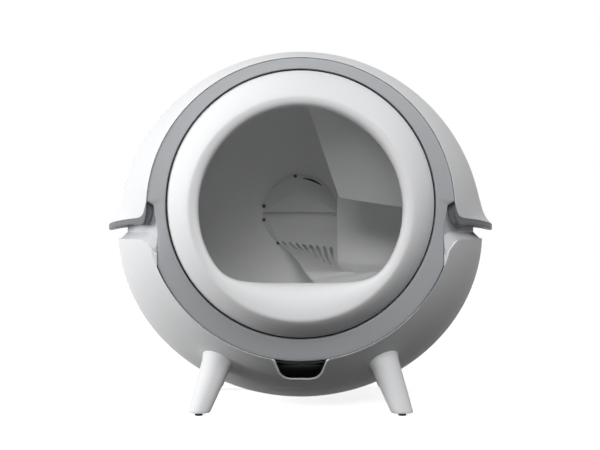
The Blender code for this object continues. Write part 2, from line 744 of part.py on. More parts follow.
# Waste drawer
def notch_outline():
    """Half the notch, right side, then mirrored: rounded below and flared at the panel's rim."""
    rim = RING_CENTRE_HEIGHT - math.sqrt(RIM_RADIUS ** 2 - NOTCH_TOP_HALF_WIDTH ** 2)
    top = RING_CENTRE_HEIGHT - RING_RADIUS + CASING_WALL + GLOBE_FLANGE_WIDTH
    slope = math.atan2(rim - NOTCH_FLOOR_HEIGHT, NOTCH_TOP_HALF_WIDTH - NOTCH_BOTTOM_HALF_WIDTH)
    tangent = NOTCH_CORNER * math.tan((math.pi - slope) / 4)
    centre = (NOTCH_BOTTOM_HALF_WIDTH - tangent, NOTCH_FLOOR_HEIGHT + NOTCH_CORNER)
    corner = arc(centre, NOTCH_CORNER, -math.pi / 2, slope - math.pi / 2, CORNER_STEPS)
    middle = (NOTCH_TOP_HALF_WIDTH + NOTCH_FLARE * math.tan(slope / 2), rim - NOTCH_FLARE)
    flare = arc(middle, NOTCH_FLARE, slope + math.pi / 2, math.pi / 2, CORNER_STEPS)
    right = corner + flare + [(middle[0], top)]
    return right + [(-x, z) for x, z in reversed(right)]


def make_drawer(white, body_mid):
    front = FRONT_Y - CUT_OVERRUN
    origin = (0, FRONT_Y, DRAWER_PANEL_HEIGHT)
    low = (-DRAWER_HALF_WIDTH, front, DRAWER_FLOOR_HEIGHT)
    high = (DRAWER_HALF_WIDTH, MID_Y + DRAWER_BACK_DEPTH, DRAWER_TOP_HEIGHT)
    drawer = block("waste_drawer", low, high, white, origin)
    keep_inside(drawer, body_mid)
    cut(drawer, block("drawer_hollow", (low[0] + DRAWER_WALL, front - CUT_OVERRUN, low[2] + DRAWER_WALL),
                      (high[0] - DRAWER_WALL, high[1] - DRAWER_WALL, high[2] + CUT_OVERRUN)))
    panel = lower_shell_wall("drawer_panel", white)
    keep_inside(panel, drawer_window("panel_window", 0))
    join(drawer, panel)
    notch = plate("drawer_notch", notch_outline(), front, MID_Y + DRAWER_PANEL_BACK)
    return cut(drawer, notch)


def make_rails(grey, seat):
    for side, word in ((-1, "left"), (1, "right")):
        middle = side * RAIL_OFFSET
        rail = block("drawer_rail_" + word,
                     (middle - RAIL_WIDTH / 2, MID_Y + RAIL_FRONT_DEPTH, 0),
                     (middle + RAIL_WIDTH / 2, MID_Y + RAIL_BACK_DEPTH, DRAWER_FLOOR_HEIGHT - SEAT_GAP), grey)
        keep_inside(rail, seat)


# Deck and supports
def make_deck(grey, seat):
    reach = math.asin(DECK_TROUGH_HALF_WIDTH / DECK_RADIUS)
    centre = (0, GLOBE_AXIS_HEIGHT)
    top = arc(centre, DECK_RADIUS, -math.pi / 2 - reach, -math.pi / 2 + reach, DECK_STEPS)
    under = arc(centre, DECK_RADIUS + DECK_WALL, -math.pi / 2 + reach, -math.pi / 2 - reach, DECK_STEPS)
    ledge = top[0][1]
    outline = [(-BODY_HALF_WIDTH, ledge)] + top + [(BODY_HALF_WIDTH, ledge)]
    outline += [(BODY_HALF_WIDTH, under[0][1])] + under + [(-BODY_HALF_WIDTH, under[-1][1])]
    deck = plate("base_deck", outline, MID_Y + DECK_FRONT_DEPTH, MID_Y + DECK_BACK_DEPTH, grey)
    keep_inside(deck, seat)
    drop = block("drop_opening", (-DROP_HALF_WIDTH, MID_Y + DROP_FRONT_DEPTH, DRAWER_FLOOR_HEIGHT),
                 (DROP_HALF_WIDTH, MID_Y + DROP_BACK_DEPTH, GLOBE_AXIS_HEIGHT - GLOBE_RADIUS + DECK_WALL))
    return cut(deck, drop)


def turn_about_axis(item, angle):
    """Swings a piece made straight below the globe's axis to its place beside it."""
    item.location = (0, 0, GLOBE_AXIS_HEIGHT)
    item.rotation_euler = (0, angle, 0)
    return item


def below_axis(item):
    """Moves a mesh so that the globe's axis is its origin."""
    for vertex in item.data.vertices:
        vertex.co = vertex.co + item.location
        vertex.co.z -= GLOBE_AXIS_HEIGHT
    item.location = (0, 0, 0)
    return item


def make_roller_set(side, word, steel, grey, rubber):
    middle = MID_Y + TRACK_DEPTH
    centre = (0, GLOBE_AXIS_HEIGHT - ROLLER_ORBIT)
    half = ROLLER_LENGTH / 2
    bore = AXLE_RADIUS + ROLLER_BORE_GAP
    profile = [(bore, middle - half), (ROLLER_RADIUS, middle - half),
               (ROLLER_RADIUS, middle + half), (bore, middle + half)]
    ear_low = middle - half - ROLLER_SIDE_GAP - EAR_WALL
    ear_high = middle + half + ROLLER_SIDE_GAP + EAR_WALL
    angle = -side * ROLLER_ANGLE
    across = side * ROLLER_ORBIT * math.sin(ROLLER_ANGLE)
    height = GLOBE_AXIS_HEIGHT - ROLLER_ORBIT * math.cos(ROLLER_ANGLE)
    turned("roller_" + word, profile, (across, height), SMALL_STEPS, rubber, (across, middle, height))
    rod("roller_axle_" + word, AXLE_RADIUS, ear_low - AXLE_OVERHANG, ear_high + AXLE_OVERHANG,
        (across, height), SMALL_STEPS, steel)
    floor = GLOBE_AXIS_HEIGHT - DECK_RADIUS + SEAT_GAP
    top = GLOBE_AXIS_HEIGHT - TRACK_RADIUS - EAR_TOP_MARGIN
    bracket = block("roller_bracket_" + word, (-EAR_HALF_WIDTH, ear_low, floor),
                    (EAR_HALF_WIDTH, ear_high, top), grey)
    base_top = floor + BRACKET_BASE * BRACKET_BASE_SHARE
    space = block("roller_space_" + word,
                  (-EAR_HALF_WIDTH - CUT_OVERRUN, middle - half - ROLLER_SIDE_GAP, base_top),
                  (EAR_HALF_WIDTH + CUT_OVERRUN, middle + half + ROLLER_SIDE_GAP, top + CUT_OVERRUN))
    hole = rod("roller_bracket_bore_" + word, bore, ear_low - CUT_OVERRUN, ear_high + CUT_OVERRUN,
               centre, SMALL_STEPS)
    bowl = rod("roller_bracket_foot_" + word, DECK_RADIUS - SEAT_GAP, ear_low - CUT_OVERRUN,
               ear_high + CUT_OVERRUN, (0, GLOBE_AXIS_HEIGHT), 4 * ROUND_STEPS)
    for item in (bracket, space, hole, bowl):
        turn_about_axis(below_axis(item), angle)
    cut(bracket, space)
    cut(bracket, hole)
    keep_inside(bracket, bowl)


# Globe
def globe_radius_at(depth, wall=0.0):
    semi = GLOBE_FRONT_SEMI_AXIS if depth < GLOBE_WIDEST_DEPTH else GLOBE_BACK_SEMI_AXIS
    share = (depth - GLOBE_WIDEST_DEPTH) / (semi - wall)
    return (GLOBE_RADIUS - wall) * math.sqrt(max(0.0, 1 - share * share))


def globe_depth_at(radius, wall=0.0):
    share = radius / (GLOBE_RADIUS - wall)
    return GLOBE_WIDEST_DEPTH + (GLOBE_BACK_SEMI_AXIS - wall) * math.sqrt(1 - share * share)


def front_curve(wall, start, end):
    """Side wall from the joint towards the widest place, as (radius, depth) pairs."""
    return [(globe_radius_at(depth, wall), depth) for depth in np.linspace(start, end, GLOBE_FRONT_ROWS)]


def back_curve(wall, end):
    """Wall from the widest place to the flat back, in even turns of the back ellipse."""
    semi = GLOBE_BACK_SEMI_AXIS - wall
    last = math.asin(min(1.0, (end - GLOBE_WIDEST_DEPTH) / semi))
    return [((GLOBE_RADIUS - wall) * math.cos(angle), GLOBE_WIDEST_DEPTH + semi * math.sin(angle))
            for angle in np.linspace(0, last, GLOBE_BACK_ROWS + 1)]


def globe_half(name, profile, grey):
    profile = [(radius, MID_Y + depth) for radius, depth in profile]
    half = turned(name, profile, (0, GLOBE_AXIS_HEIGHT), ROUND_STEPS, grey)
    cut(half, waste_port("port_of_" + name))
    return half


def make_globe_shell(grey):
    """Front and rear half, which meet at the widest place; the waste port goes through both."""
    joint = GLOBE_JOINT_DEPTH + SEAT_GAP
    flange_radius = FRONT_GAP_RADIUS - FRONT_GAP_WIDTH / 2
    track_front = TRACK_DEPTH - TRACK_WIDTH / 2
    track_back = TRACK_DEPTH + TRACK_WIDTH / 2
    back = GLOBE_BACK_Y - MID_Y
    seam = GLOBE_WIDEST_DEPTH - SEAT_GAP
    front = [(flange_radius, joint), (flange_radius, joint + GLOBE_FLANGE_DEPTH),
             (globe_radius_at(track_front), track_front), (TRACK_RADIUS, track_front)]
    front += front_curve(0, track_back, seam) + list(reversed(front_curve(GLOBE_WALL, joint, seam)))
    globe_half("globe_shell_front", front, grey)
    rear = back_curve(0, back) + [(SHAFT_RADIUS, back), (SHAFT_RADIUS, back - GLOBE_WALL)]
    rear += list(reversed(back_curve(GLOBE_WALL, back - GLOBE_WALL)))
    shell = globe_half("globe_shell", rear, grey)
    for index, place in enumerate(hub_screw_places()):
        cut(shell, rod(f"shell_screw_hole_{index + 1}", SCREW_SHANK_RADIUS + SEAT_GAP,
                       GLOBE_INNER_BACK_Y - CUT_OVERRUN / 2, GLOBE_BACK_Y + CUT_OVERRUN, place, HOLE_STEPS))


def waste_port(name):
    """Rounded-off box from near the axis outwards through the globe's wall, turned to the port."""
    low = (GLOBE_RADIUS / 2, MID_Y + WASTE_PORT_FRONT, -WASTE_PORT_HALF_WIDTH)
    high = (GLOBE_RADIUS + CUT_OVERRUN, MID_Y + WASTE_PORT_BACK, WASTE_PORT_HALF_WIDTH)
    port = block(name, low, high, origin=(0, 0, 0))
    port.location = (0, 0, GLOBE_AXIS_HEIGHT)
    port.rotation_euler = (0, -WASTE_PORT_ANGLE, 0)
    return as_cutter(port)


def globe_inside(name, gap):
    """Solid of the space inside the globe's shell, for trimming what is fixed in it."""
    wall = GLOBE_WALL + gap
    back = GLOBE_BACK_Y - MID_Y - wall
    curve = front_curve(wall, GLOBE_JOINT_DEPTH + gap + SEAT_GAP, GLOBE_WIDEST_DEPTH)
    curve += back_curve(wall, back)[1:]
    sections = []
    for radius, depth in curve:
        sections.append([(radius * math.cos(2 * math.pi * step / ROUND_STEPS), MID_Y + depth,
                          GLOBE_AXIS_HEIGHT + radius * math.sin(2 * math.pi * step / ROUND_STEPS))
                         for step in range(ROUND_STEPS)])
    return as_cutter(loft(name, sections))


def entry_radius(angle):
    """Round entry with a flat sill: a soft minimum of the circle and the sill line."""
    sine = math.sin(angle)
    if sine >= 0:
        return ENTRY_RADIUS
    sill = ENTRY_SILL_DROP / -sine
    return (ENTRY_RADIUS ** -ENTRY_SHARPNESS + sill ** -ENTRY_SHARPNESS) ** (-1 / ENTRY_SHARPNESS)


def lip_point(first, second, share, depth):
    """Point between two (x, z) places, at a depth of its own."""
    return (first[0] + (second[0] - first[0]) * share, MID_Y + depth,
            first[1] + (second[1] - first[1]) * share)


def lip_section(angle):
    """One outline of the front's wall: swelling to the ridge, rolling in to the mouth, and back behind."""
    cosine = math.cos(angle)
    sine = math.sin(angle)
    edge_radius = FRONT_GAP_RADIUS - FRONT_GAP_WIDTH / 2
    seat_radius = edge_radius - GLOBE_FLANGE_WIDTH
    radius = entry_radius(angle)
    edge = (edge_radius * cosine, GLOBE_AXIS_HEIGHT + edge_radius * sine)
    seat = (seat_radius * cosine, GLOBE_AXIS_HEIGHT + seat_radius * sine)
    ridge = (RIDGE_RADIUS * cosine, RIDGE_CENTRE_HEIGHT + RIDGE_RADIUS * sine)
    mouth = (radius * cosine, ENTRY_CENTRE_HEIGHT + radius * sine)
    behind = ((radius + LIP_WALL) * cosine, ENTRY_CENTRE_HEIGHT + (radius + LIP_WALL) * sine)
    roll = LIP_ROLL_SLOPE_SHARE * math.dist(ridge, mouth)
    rise = LIP_EDGE_DEPTH - RIDGE_DEPTH
    throat = min(RIDGE_DEPTH + roll + LIP_THROAT, GLOBE_JOINT_DEPTH)
    back_wall = LIP_WALL * LIP_WALL_SHARE
    section = [lip_point(edge, edge, 0, GLOBE_JOINT_DEPTH), lip_point(edge, edge, 0, LIP_EDGE_DEPTH)]
    for share, rise_share in LIP_FRONT_SHARES:
        section.append(lip_point(edge, ridge, share, LIP_EDGE_DEPTH - rise * rise_share))
    share, roll_share = LIP_ROLL_SHARES
    section.append(lip_point(ridge, mouth, share, RIDGE_DEPTH + roll * roll_share))
    section.append(lip_point(mouth, mouth, 0, RIDGE_DEPTH + roll))
    section.append(lip_point(mouth, mouth, 0, throat))
    section.append(lip_point(behind, behind, 0, throat))
    share, roll_share = LIP_BACK_SHARES
    section.append(lip_point(behind, ridge, share, RIDGE_DEPTH + roll * roll_share + back_wall))
    share, rise_share = LIP_FRONT_SHARES[1]
    section.append(lip_point(edge, ridge, share, LIP_EDGE_DEPTH - rise * rise_share + back_wall))
    section.append(lip_point(seat, ridge, LIP_SEAT_SHARE, GLOBE_JOINT_DEPTH - GLOBE_FLANGE_DEPTH))
    section.append(lip_point(seat, seat, 0, GLOBE_JOINT_DEPTH))
    return section


def make_globe_front(white):
    sections = [lip_section(2 * math.pi * step / RING_STEPS) for step in range(RING_STEPS)]
    return loft("globe_front", sections, white, closed=True, origin=(0, MID_Y, GLOBE_AXIS_HEIGHT))


# Hub plates, screws, scoop and roof inside the globe
def hub_screw_places():
    return [(HUB_RADIUS * math.cos(math.radians(angle)),
             HUB_CENTRE_HEIGHT + HUB_RADIUS * math.sin(math.radians(angle))) for angle in HUB_SCREW_ANGLES]


def make_hub_plates(grey):
    centre = (0, HUB_CENTRE_HEIGHT)
    half = HUB_SEAM / 2
    lean = math.asin(half / HUB_RADIUS)
    low = HUB_FRONT_Y
    high = HUB_FRONT_Y + HUB_THICKNESS
    spans = (("hub_plate_upper", lean, math.pi - lean),
             ("hub_plate_lower", math.pi + lean, 2 * math.pi - lean))
    places = hub_screw_places()
    for name, start, end in spans:
        item = plate(name, arc(centre, HUB_RADIUS, start, end, HUB_STEPS), low, high, grey,
                     (0, low, HUB_CENTRE_HEIGHT))
        for index, place in enumerate(places):
            if (place[1] > HUB_CENTRE_HEIGHT) == (name == "hub_plate_upper"):
                lug = rod(f"hub_lug_{index + 1}", HUB_LUG_RADIUS, low, high, place, SMALL_STEPS)
                join(item, lug)
                cut(item, rod(f"hub_hole_{index + 1}", SCREW_SHANK_RADIUS + SEAT_GAP, low - CUT_OVERRUN,
                              high + CUT_OVERRUN, place, HOLE_STEPS))
        if name == "hub_plate_upper":
            start, end = (math.radians(angle) for angle in HUB_SLOT_ANGLES)
            slot = arc(centre, HUB_SLOT_RADIUS, start, end, HUB_SLOT_STEPS)
            slot += arc(centre, HUB_SLOT_RADIUS - HUB_SLOT_WIDTH, end, start, HUB_SLOT_STEPS)
            cut(item, plate("hub_slot", slot, low - CUT_OVERRUN, high + CUT_OVERRUN))


def make_hub_screws(steel):
    head_y = HUB_FRONT_Y - SEAT_GAP
    for index, place in enumerate(hub_screw_places()):
        profile = [(0, head_y - SCREW_HEAD_HEIGHT),
                   (SCREW_HEAD_RADIUS * SCREW_CROWN_SHARE, head_y - SCREW_HEAD_HEIGHT),
                   (SCREW_HEAD_RADIUS, head_y - SCREW_HEAD_HEIGHT / 2), (SCREW_HEAD_RADIUS, head_y),
                   (SCREW_SHANK_RADIUS, head_y), (SCREW_SHANK_RADIUS, head_y + SCREW_SHANK_LENGTH),
                   (0, head_y + SCREW_SHANK_LENGTH)]
        turned(f"hub_screw_{index + 1}", profile, place, HOLE_STEPS, steel)


def scoop_point(x, share, lift):
    """The scoop starts straight down at the back and curves forward: a quarter ellipse in depth."""
    spread = ease((x - SCOOP_LEFT) / SCOOP_SPREAD)
    reach = SCOOP_REACH_LEFT + (SCOOP_REACH - SCOOP_REACH_LEFT) * spread
    drop = SCOOP_DROP_LEFT + (SCOOP_DROP - SCOOP_DROP_LEFT) * spread
    angle = share * math.pi / 2
    past = max(0.0, x - SCOOP_FOLD)
    curl = past * past / (2 * SCOOP_CURL_RADIUS)
    y = SCOOP_BACK_Y - lift * math.cos(angle) - reach * (1 - math.cos(angle))
    z = SCOOP_TOP_HEIGHT + lift * math.sin(angle) - drop * math.sin(angle) + curl * math.sin(angle)
    return x, y, z


def make_scoop(grey, inside):
    across = np.linspace(SCOOP_LEFT, SCOOP_RIGHT, SCOOP_COLUMNS)
    along = np.linspace(0, 1, SCOOP_ROWS)
    top = [[scoop_point(x, share, SCOOP_WALL) for x in across] for share in along]
    under = [[scoop_point(x, share, 0) for x in across] for share in along]
    scoop = shell_between("waste_scoop", top, under, grey)
    keep_inside(scoop, inside)
    boxes = []
    pitch = (SLOT_LAST - SLOT_FIRST) / (SLOT_COUNT - 1)
    for index in range(SLOT_COUNT):
        middle = SLOT_FIRST + pitch * index
        spread = ease((middle - SCOOP_LEFT) / SCOOP_SPREAD)
        drop = SCOOP_DROP_LEFT + (SCOOP_DROP - SCOOP_DROP_LEFT) * spread
        start_drop = SLOT_START_DROP * (1 - index / SLOT_COUNT * SLOT_START_RISE_SHARE)
        start = math.asin(min(1.0, start_drop / drop)) / (math.pi / 2)
        first = scoop_point(middle, start, 0)
        last = scoop_point(middle, SLOT_END_SHARE - SLOT_END_DROP_SHARE * index / SLOT_COUNT, 0)
        boxes.append(((middle - SLOT_WIDTH / 2, last[1], last[2] - SCOOP_DROP),
                      (middle + SLOT_WIDTH / 2, first[1], first[2] + SCOOP_DROP)))
    return cut(scoop, box_set("sieve_slots", boxes))


def make_roof(grey, inside):
    tip = np.array((ROOF_TIP_X, MID_Y, GLOBE_AXIS_HEIGHT + ROOF_TIP_RISE))
    top = tip + np.array(ROOF_TOP_SHARES) * GLOBE_RADIUS
    side = tip + np.array(ROOF_SIDE_SHARES) * GLOBE_RADIUS
    far = top + side - tip
    normal = np.cross(top - tip, side - tip)
    normal = normal / np.linalg.norm(normal)
    if normal[1] < 0:
        normal = -normal
    front = [tuple(point) for point in (tip, top, far, side)]
    back = [tuple(np.array(point) + normal * ROOF_WALL) for point in front]
    roof = loft("scoop_roof", [front, back], grey)
    return keep_inside(roof, inside)


# Drive at the back
def gear_outline(teeth, centre, phase, clearance):
    """Straight-sided teeth: four corners each."""
    pitch_radius = GEAR_MODULE * teeth / 2
    tip = pitch_radius + GEAR_MODULE * TOOTH_TIP_SHARE
    root = pitch_radius - GEAR_MODULE * TOOTH_ROOT_SHARE
    pitch = 2 * math.pi / teeth
    thin = clearance / pitch_radius
    corners = ((root, -TOOTH_ROOT_WIDTH_SHARE), (tip, -TOOTH_TIP_WIDTH_SHARE),
               (tip, TOOTH_TIP_WIDTH_SHARE), (root, TOOTH_ROOT_WIDTH_SHARE))
    outline = []
    for tooth in range(teeth):
        middle = phase + tooth * pitch
        for radius, width_share in corners:
            shift = thin if width_share < 0 else -thin
            angle = middle + width_share * pitch + shift
            outline.append((centre[0] + radius * math.cos(angle), centre[1] + radius * math.sin(angle)))
    return outline


def make_drive(white, steel, grey, dark):
    axis = (0, GLOBE_AXIS_HEIGHT)
    teeth = gear_outline(GEAR_TEETH, axis, -math.pi / 2, TOOTH_CLEARANCE)
    gear = plate("globe_gear", teeth, GEAR_Y, GEAR_BACK_Y, white, (0, GEAR_Y, GLOBE_AXIS_HEIGHT))
    flange_y = GEAR_BACK_Y + SEAT_GAP
    shaft_profile = [(0, flange_y), (SHAFT_FLANGE_RADIUS, flange_y),
                     (SHAFT_FLANGE_RADIUS, flange_y + SHAFT_FLANGE_THICKNESS),
                     (SHAFT_RADIUS, flange_y + SHAFT_FLANGE_THICKNESS),
                     (SHAFT_RADIUS, BRACKET_BACK_Y + SHAFT_OVERHANG), (0, BRACKET_BACK_Y + SHAFT_OVERHANG)]
    turned("globe_shaft", shaft_profile, axis, SHAFT_STEPS, steel)
    centre = (0, PINION_HEIGHT)
    half_pitch = math.pi / PINION_TEETH
    teeth = gear_outline(PINION_TEETH, centre, math.pi / 2 + half_pitch, TOOTH_CLEARANCE)
    pinion = plate("drive_pinion", teeth, GEAR_Y, GEAR_BACK_Y + SEAT_GAP, steel, (0, GEAR_Y, PINION_HEIGHT))
    join(pinion, rod("pinion_shaft", PINION_SHAFT_RADIUS, GEAR_BACK_Y - RUN_GAP,
                     BRACKET_BACK_Y + PINION_SHAFT_REACH, centre, SMALL_STEPS))
    middle = (BRACKET_Y + BRACKET_BACK_Y) / 2
    low = middle - BEARING_LENGTH / 2
    high = middle + BEARING_LENGTH / 2
    bore = SHAFT_RADIUS + SEAT_GAP
    bearing = [(bore, low), (BEARING_OUTER_RADIUS, low), (BEARING_OUTER_RADIUS, high), (bore, high)]
    turned("rear_bearing", bearing, axis, SHAFT_STEPS, dark)
    return gear


def make_rear_bracket(grey, seat):
    axis = (0, GLOBE_AXIS_HEIGHT)
    foot = GLOBE_AXIS_HEIGHT - DECK_RADIUS - DECK_WALL
    head = arc(axis, BRACKET_HEAD_RADIUS, 0, math.pi, BRACKET_STEPS)
    outline = head + [(-BRACKET_FOOT_HALF_WIDTH, foot), (BRACKET_FOOT_HALF_WIDTH, foot)]
    bracket = plate("rear_bracket", outline, BRACKET_Y, BRACKET_BACK_Y, grey)
    low = BRACKET_Y - CUT_OVERRUN
    high = BRACKET_BACK_Y + CUT_OVERRUN
    cut(bracket, rod("bearing_bore", BEARING_OUTER_RADIUS + SEAT_GAP, low, high, axis, SHAFT_STEPS))
    cut(bracket, rod("pinion_bore", PINION_SHAFT_RADIUS + SEAT_GAP, low, high, (0, PINION_HEIGHT),
                      SMALL_STEPS))
    keep_inside(bracket, rod("bracket_foot", DECK_RADIUS - SEAT_GAP, low, high, axis, 4 * ROUND_STEPS))
    keep_inside(bracket, seat)
    return bracket


def make_motor(dark, steel, board_green):
    low = BRACKET_BACK_Y + SEAT_GAP
    box_low = (-GEARBOX_WIDTH / 2, low, PINION_HEIGHT - GEARBOX_HEIGHT / 2)
    box_high = (GEARBOX_WIDTH / 2, low + GEARBOX_DEPTH, PINION_HEIGHT + GEARBOX_HEIGHT / 2)
    gearbox = block("gearbox", box_low, box_high, dark)
    cut(gearbox, rod("gearbox_bore", PINION_SHAFT_RADIUS + SEAT_GAP, low - CUT_OVERRUN,
                     BRACKET_BACK_Y + PINION_SHAFT_REACH + RUN_GAP, (0, PINION_HEIGHT), SMALL_STEPS))
    motor_low = box_high[1] + SEAT_GAP
    rod("drive_motor", MOTOR_RADIUS, motor_low, motor_low + MOTOR_LENGTH, (0, PINION_HEIGHT),
        SHAFT_STEPS, steel)
    middle = GLOBE_AXIS_HEIGHT - BOARD_CENTRE_DROP
    board = block("control_board", (-BOARD_WIDTH / 2, low, middle - BOARD_HEIGHT / 2),
                  (BOARD_WIDTH / 2, low + BOARD_THICKNESS, middle + BOARD_HEIGHT / 2), board_green)
    chip = block("board_chip", (-CHIP_SIZE / 2, low, middle - CHIP_SIZE / 2),
                 (CHIP_SIZE / 2, low + BOARD_THICKNESS + CHIP_THICKNESS, middle + CHIP_SIZE / 2))
    join(board, chip)


def make_home_sensor(dark, steel):
    height = GLOBE_AXIS_HEIGHT - SENSOR_RADIUS
    rod("home_magnet", MAGNET_RADIUS, GEAR_BACK_Y + SEAT_GAP, GEAR_BACK_Y + SEAT_GAP + MAGNET_THICKNESS,
        (0, height), SMALL_STEPS, steel)
    high = BRACKET_Y - SEAT_GAP
    block("home_sensor", (-SENSOR_WIDTH / 2, high - SENSOR_THICKNESS, height - SENSOR_HEIGHT / 2),
          (SENSOR_WIDTH / 2, high, height + SENSOR_HEIGHT / 2), dark)


# Back fittings
def back_surface(x, height, inset):
    across = (x / (BODY_HALF_WIDTH - inset)) ** 2
    up = ((height - BODY_CENTRE_HEIGHT) / (BODY_LOWER_HEIGHT - inset)) ** 2
    return MID_Y + (BODY_BACK_DEPTH - inset) * math.sqrt(1 - across - up)


def make_back_fittings(dark, grey, seat):
    place = (PORT_OFFSET, PORT_HEIGHT)
    face = back_surface(PORT_OFFSET, PORT_HEIGHT, 0) + RUN_GAP
    inlet = rod("power_inlet", INLET_RADIUS, face - INLET_LENGTH, face, place, SMALL_STEPS, dark)
    body = rod("inlet_body", INLET_BODY_RADIUS, face - INLET_LENGTH, face, place, SMALL_STEPS)
    join(inlet, keep_inside(body, seat))
    bore_floor = face - INLET_BORE_DEPTH
    cut(inlet, rod("inlet_bore", INLET_BORE_RADIUS, bore_floor, face + CUT_OVERRUN, place, HOLE_STEPS))
    place = (-PORT_OFFSET, PORT_HEIGHT)
    proud = back_surface(PORT_OFFSET, PORT_HEIGHT, 0) + BUTTON_PROUD
    rod("power_button", BUTTON_RADIUS, proud - BUTTON_LENGTH, proud, place, SMALL_STEPS, grey)
    floor = proud - BUTTON_LENGTH - BUTTON_TRAVEL - RUN_GAP
    switch = rod("button_switch", SWITCH_BODY_RADIUS, floor - SWITCH_FLOOR, proud, place, SMALL_STEPS, dark)
    keep_inside(switch, seat)
    cut(switch, rod("switch_bore", BUTTON_RADIUS + SEAT_GAP, floor, proud + CUT_OVERRUN, place, SMALL_STEPS))


# Legs and pads
def leg_points(side, front):
    """Centres of a leg's foot, on the ground, and of its top."""
    top_x = BODY_HALF_WIDTH - LEG_TOP_INSET
    if front:
        top_y = MID_Y - BODY_FRONT_DEPTH + LEG_TOP_FRONT_INSET
        foot_y = top_y - LEG_FRONT_SPLAY
    else:
        top_y = MID_Y + BODY_BACK_DEPTH - LEG_TOP_BACK_INSET
        foot_y = top_y + LEG_BACK_SPLAY
    foot = (side * (top_x + LEG_SPLAY), foot_y, 0)
    return foot, (side * top_x, top_y, BODY_CENTRE_HEIGHT - LEG_TOP_DROP)


def make_leg(name, side, front, white, body_outside):
    foot, top = (np.array(point) for point in leg_points(side, front))
    foot = foot + (0, 0, PAD_HEIGHT + SEAT_GAP)
    sections = []
    for share in (0.0, 1 + LEG_SINK_SHARE):
        middle = foot + (top - foot) * share
        radius = LEG_FOOT_RADIUS + (LEG_TOP_RADIUS - LEG_FOOT_RADIUS) * share
        sections.append([(middle[0] + radius * math.cos(2 * math.pi * step / ROUND_LEG_STEPS),
                          middle[1] + radius * math.sin(2 * math.pi * step / ROUND_LEG_STEPS), middle[2])
                         for step in range(ROUND_LEG_STEPS)])
    return cut(loft(name, sections, white, origin=tuple(foot)), body_outside)


def make_pad(name, side, front, rubber):
    foot, _ = leg_points(side, front)
    sections = []
    for radius, height in ((PAD_RADIUS - PAD_ROUND, 0), (PAD_RADIUS, PAD_ROUND), (PAD_RADIUS, PAD_HEIGHT)):
        sections.append([(foot[0] + radius * math.cos(2 * math.pi * step / SMALL_STEPS),
                          foot[1] + radius * math.sin(2 * math.pi * step / SMALL_STEPS), height)
                         for step in range(SMALL_STEPS)])
    return loft(name, sections, rubber, origin=foot)


def make_legs(white, rubber, body_outside):
    for side, side_word in ((-1, "left"), (1, "right")):
        for front, end_word in ((True, "front"), (False, "rear")):
            make_leg(f"leg_{end_word}_{side_word}", side, front, white, body_outside)
            make_pad(f"foot_pad_{end_word}_{side_word}", side, front, rubber)


def main():
    clear_scene()
    white = material("white_plastic", (0.90, 0.90, 0.90), 0.38)
    grey = material("grey_plastic", (0.42, 0.44, 0.46), 0.42)
    inner_grey = material("inner_grey_plastic", (0.55, 0.55, 0.56), 0.5)
    rubber = material("black_rubber", (0.03, 0.03, 0.03), 0.8)
    steel = material("steel", (0.6, 0.6, 0.6), 0.3, 1.0)
    dark = material("dark_plastic", (0.05, 0.05, 0.055), 0.5)
    board_green = material("board_green", (0.03, 0.18, 0.08), 0.5)

    seat = lower_body_solid("casing_seat", CASING_WALL + SEAT_GAP)
    body_mid = lower_body_solid("casing_mid_wall", CASING_WALL / 2)
    body_outside = lower_body_solid("casing_outside", -SEAT_GAP)
    inside_globe = globe_inside("globe_space", SEAT_GAP)

    make_hood(white)
    make_hood_trim(grey)
    make_neck(grey)
    make_front_ring(grey)
    make_front_seal(rubber)
    make_lower_shell(white)
    make_drawer(white, body_mid)
    make_rails(grey, seat)
    make_deck(inner_grey, seat)
    for side, word in ((-1, "left"), (1, "right")):
        make_roller_set(side, word, steel, inner_grey, rubber)
    make_globe_shell(inner_grey)
    make_globe_front(white)
    make_hub_plates(inner_grey)
    make_hub_screws(steel)
    make_scoop(inner_grey, inside_globe)
    make_roof(inner_grey, inside_globe)
    make_drive(white, steel, inner_grey, dark)
    make_rear_bracket(inner_grey, seat)
    make_motor(dark, steel, board_green)
    make_home_sensor(dark, steel)
    make_back_fittings(dark, grey, seat)
    make_legs(white, rubber, body_outside)


main()
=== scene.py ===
# A round self cleaning litter box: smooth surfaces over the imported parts, their finishes,
# plain studio light and the camera of the product photo. Metres, +Z up, front towards -Y.

import json
import math

import bmesh
import bpy
import numpy as np
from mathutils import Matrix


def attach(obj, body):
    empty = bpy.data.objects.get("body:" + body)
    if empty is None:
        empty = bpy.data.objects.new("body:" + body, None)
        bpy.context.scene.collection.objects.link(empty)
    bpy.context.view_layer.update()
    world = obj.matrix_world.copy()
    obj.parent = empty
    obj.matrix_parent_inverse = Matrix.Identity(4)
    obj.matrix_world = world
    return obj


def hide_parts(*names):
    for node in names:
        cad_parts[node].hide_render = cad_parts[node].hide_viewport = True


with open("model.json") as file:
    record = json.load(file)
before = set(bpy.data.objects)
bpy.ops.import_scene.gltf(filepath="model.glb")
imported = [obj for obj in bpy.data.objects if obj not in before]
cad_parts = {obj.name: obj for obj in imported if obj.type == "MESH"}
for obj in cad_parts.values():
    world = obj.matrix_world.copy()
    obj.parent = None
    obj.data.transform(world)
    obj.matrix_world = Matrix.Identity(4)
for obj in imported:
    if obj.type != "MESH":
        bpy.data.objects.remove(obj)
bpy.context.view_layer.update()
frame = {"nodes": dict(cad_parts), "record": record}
print("parts loaded:", len(frame["nodes"]))


# meshes from point grids
meshing = {"sharpAngle": 38, "roundAngle": 50, "weld": 2e-6, "sliver": 1e-6, "least": 1e-6, "arcShare": 0.48}


def mix(first, second, share):
    # the value at a share of the way from the first to the second
    return first + (second - first) * share


def smooth(t):
    # from 0 to 1 on a cubic that starts and ends level
    t = np.clip(t, 0, 1)
    return t * t * (3 - 2 * t)


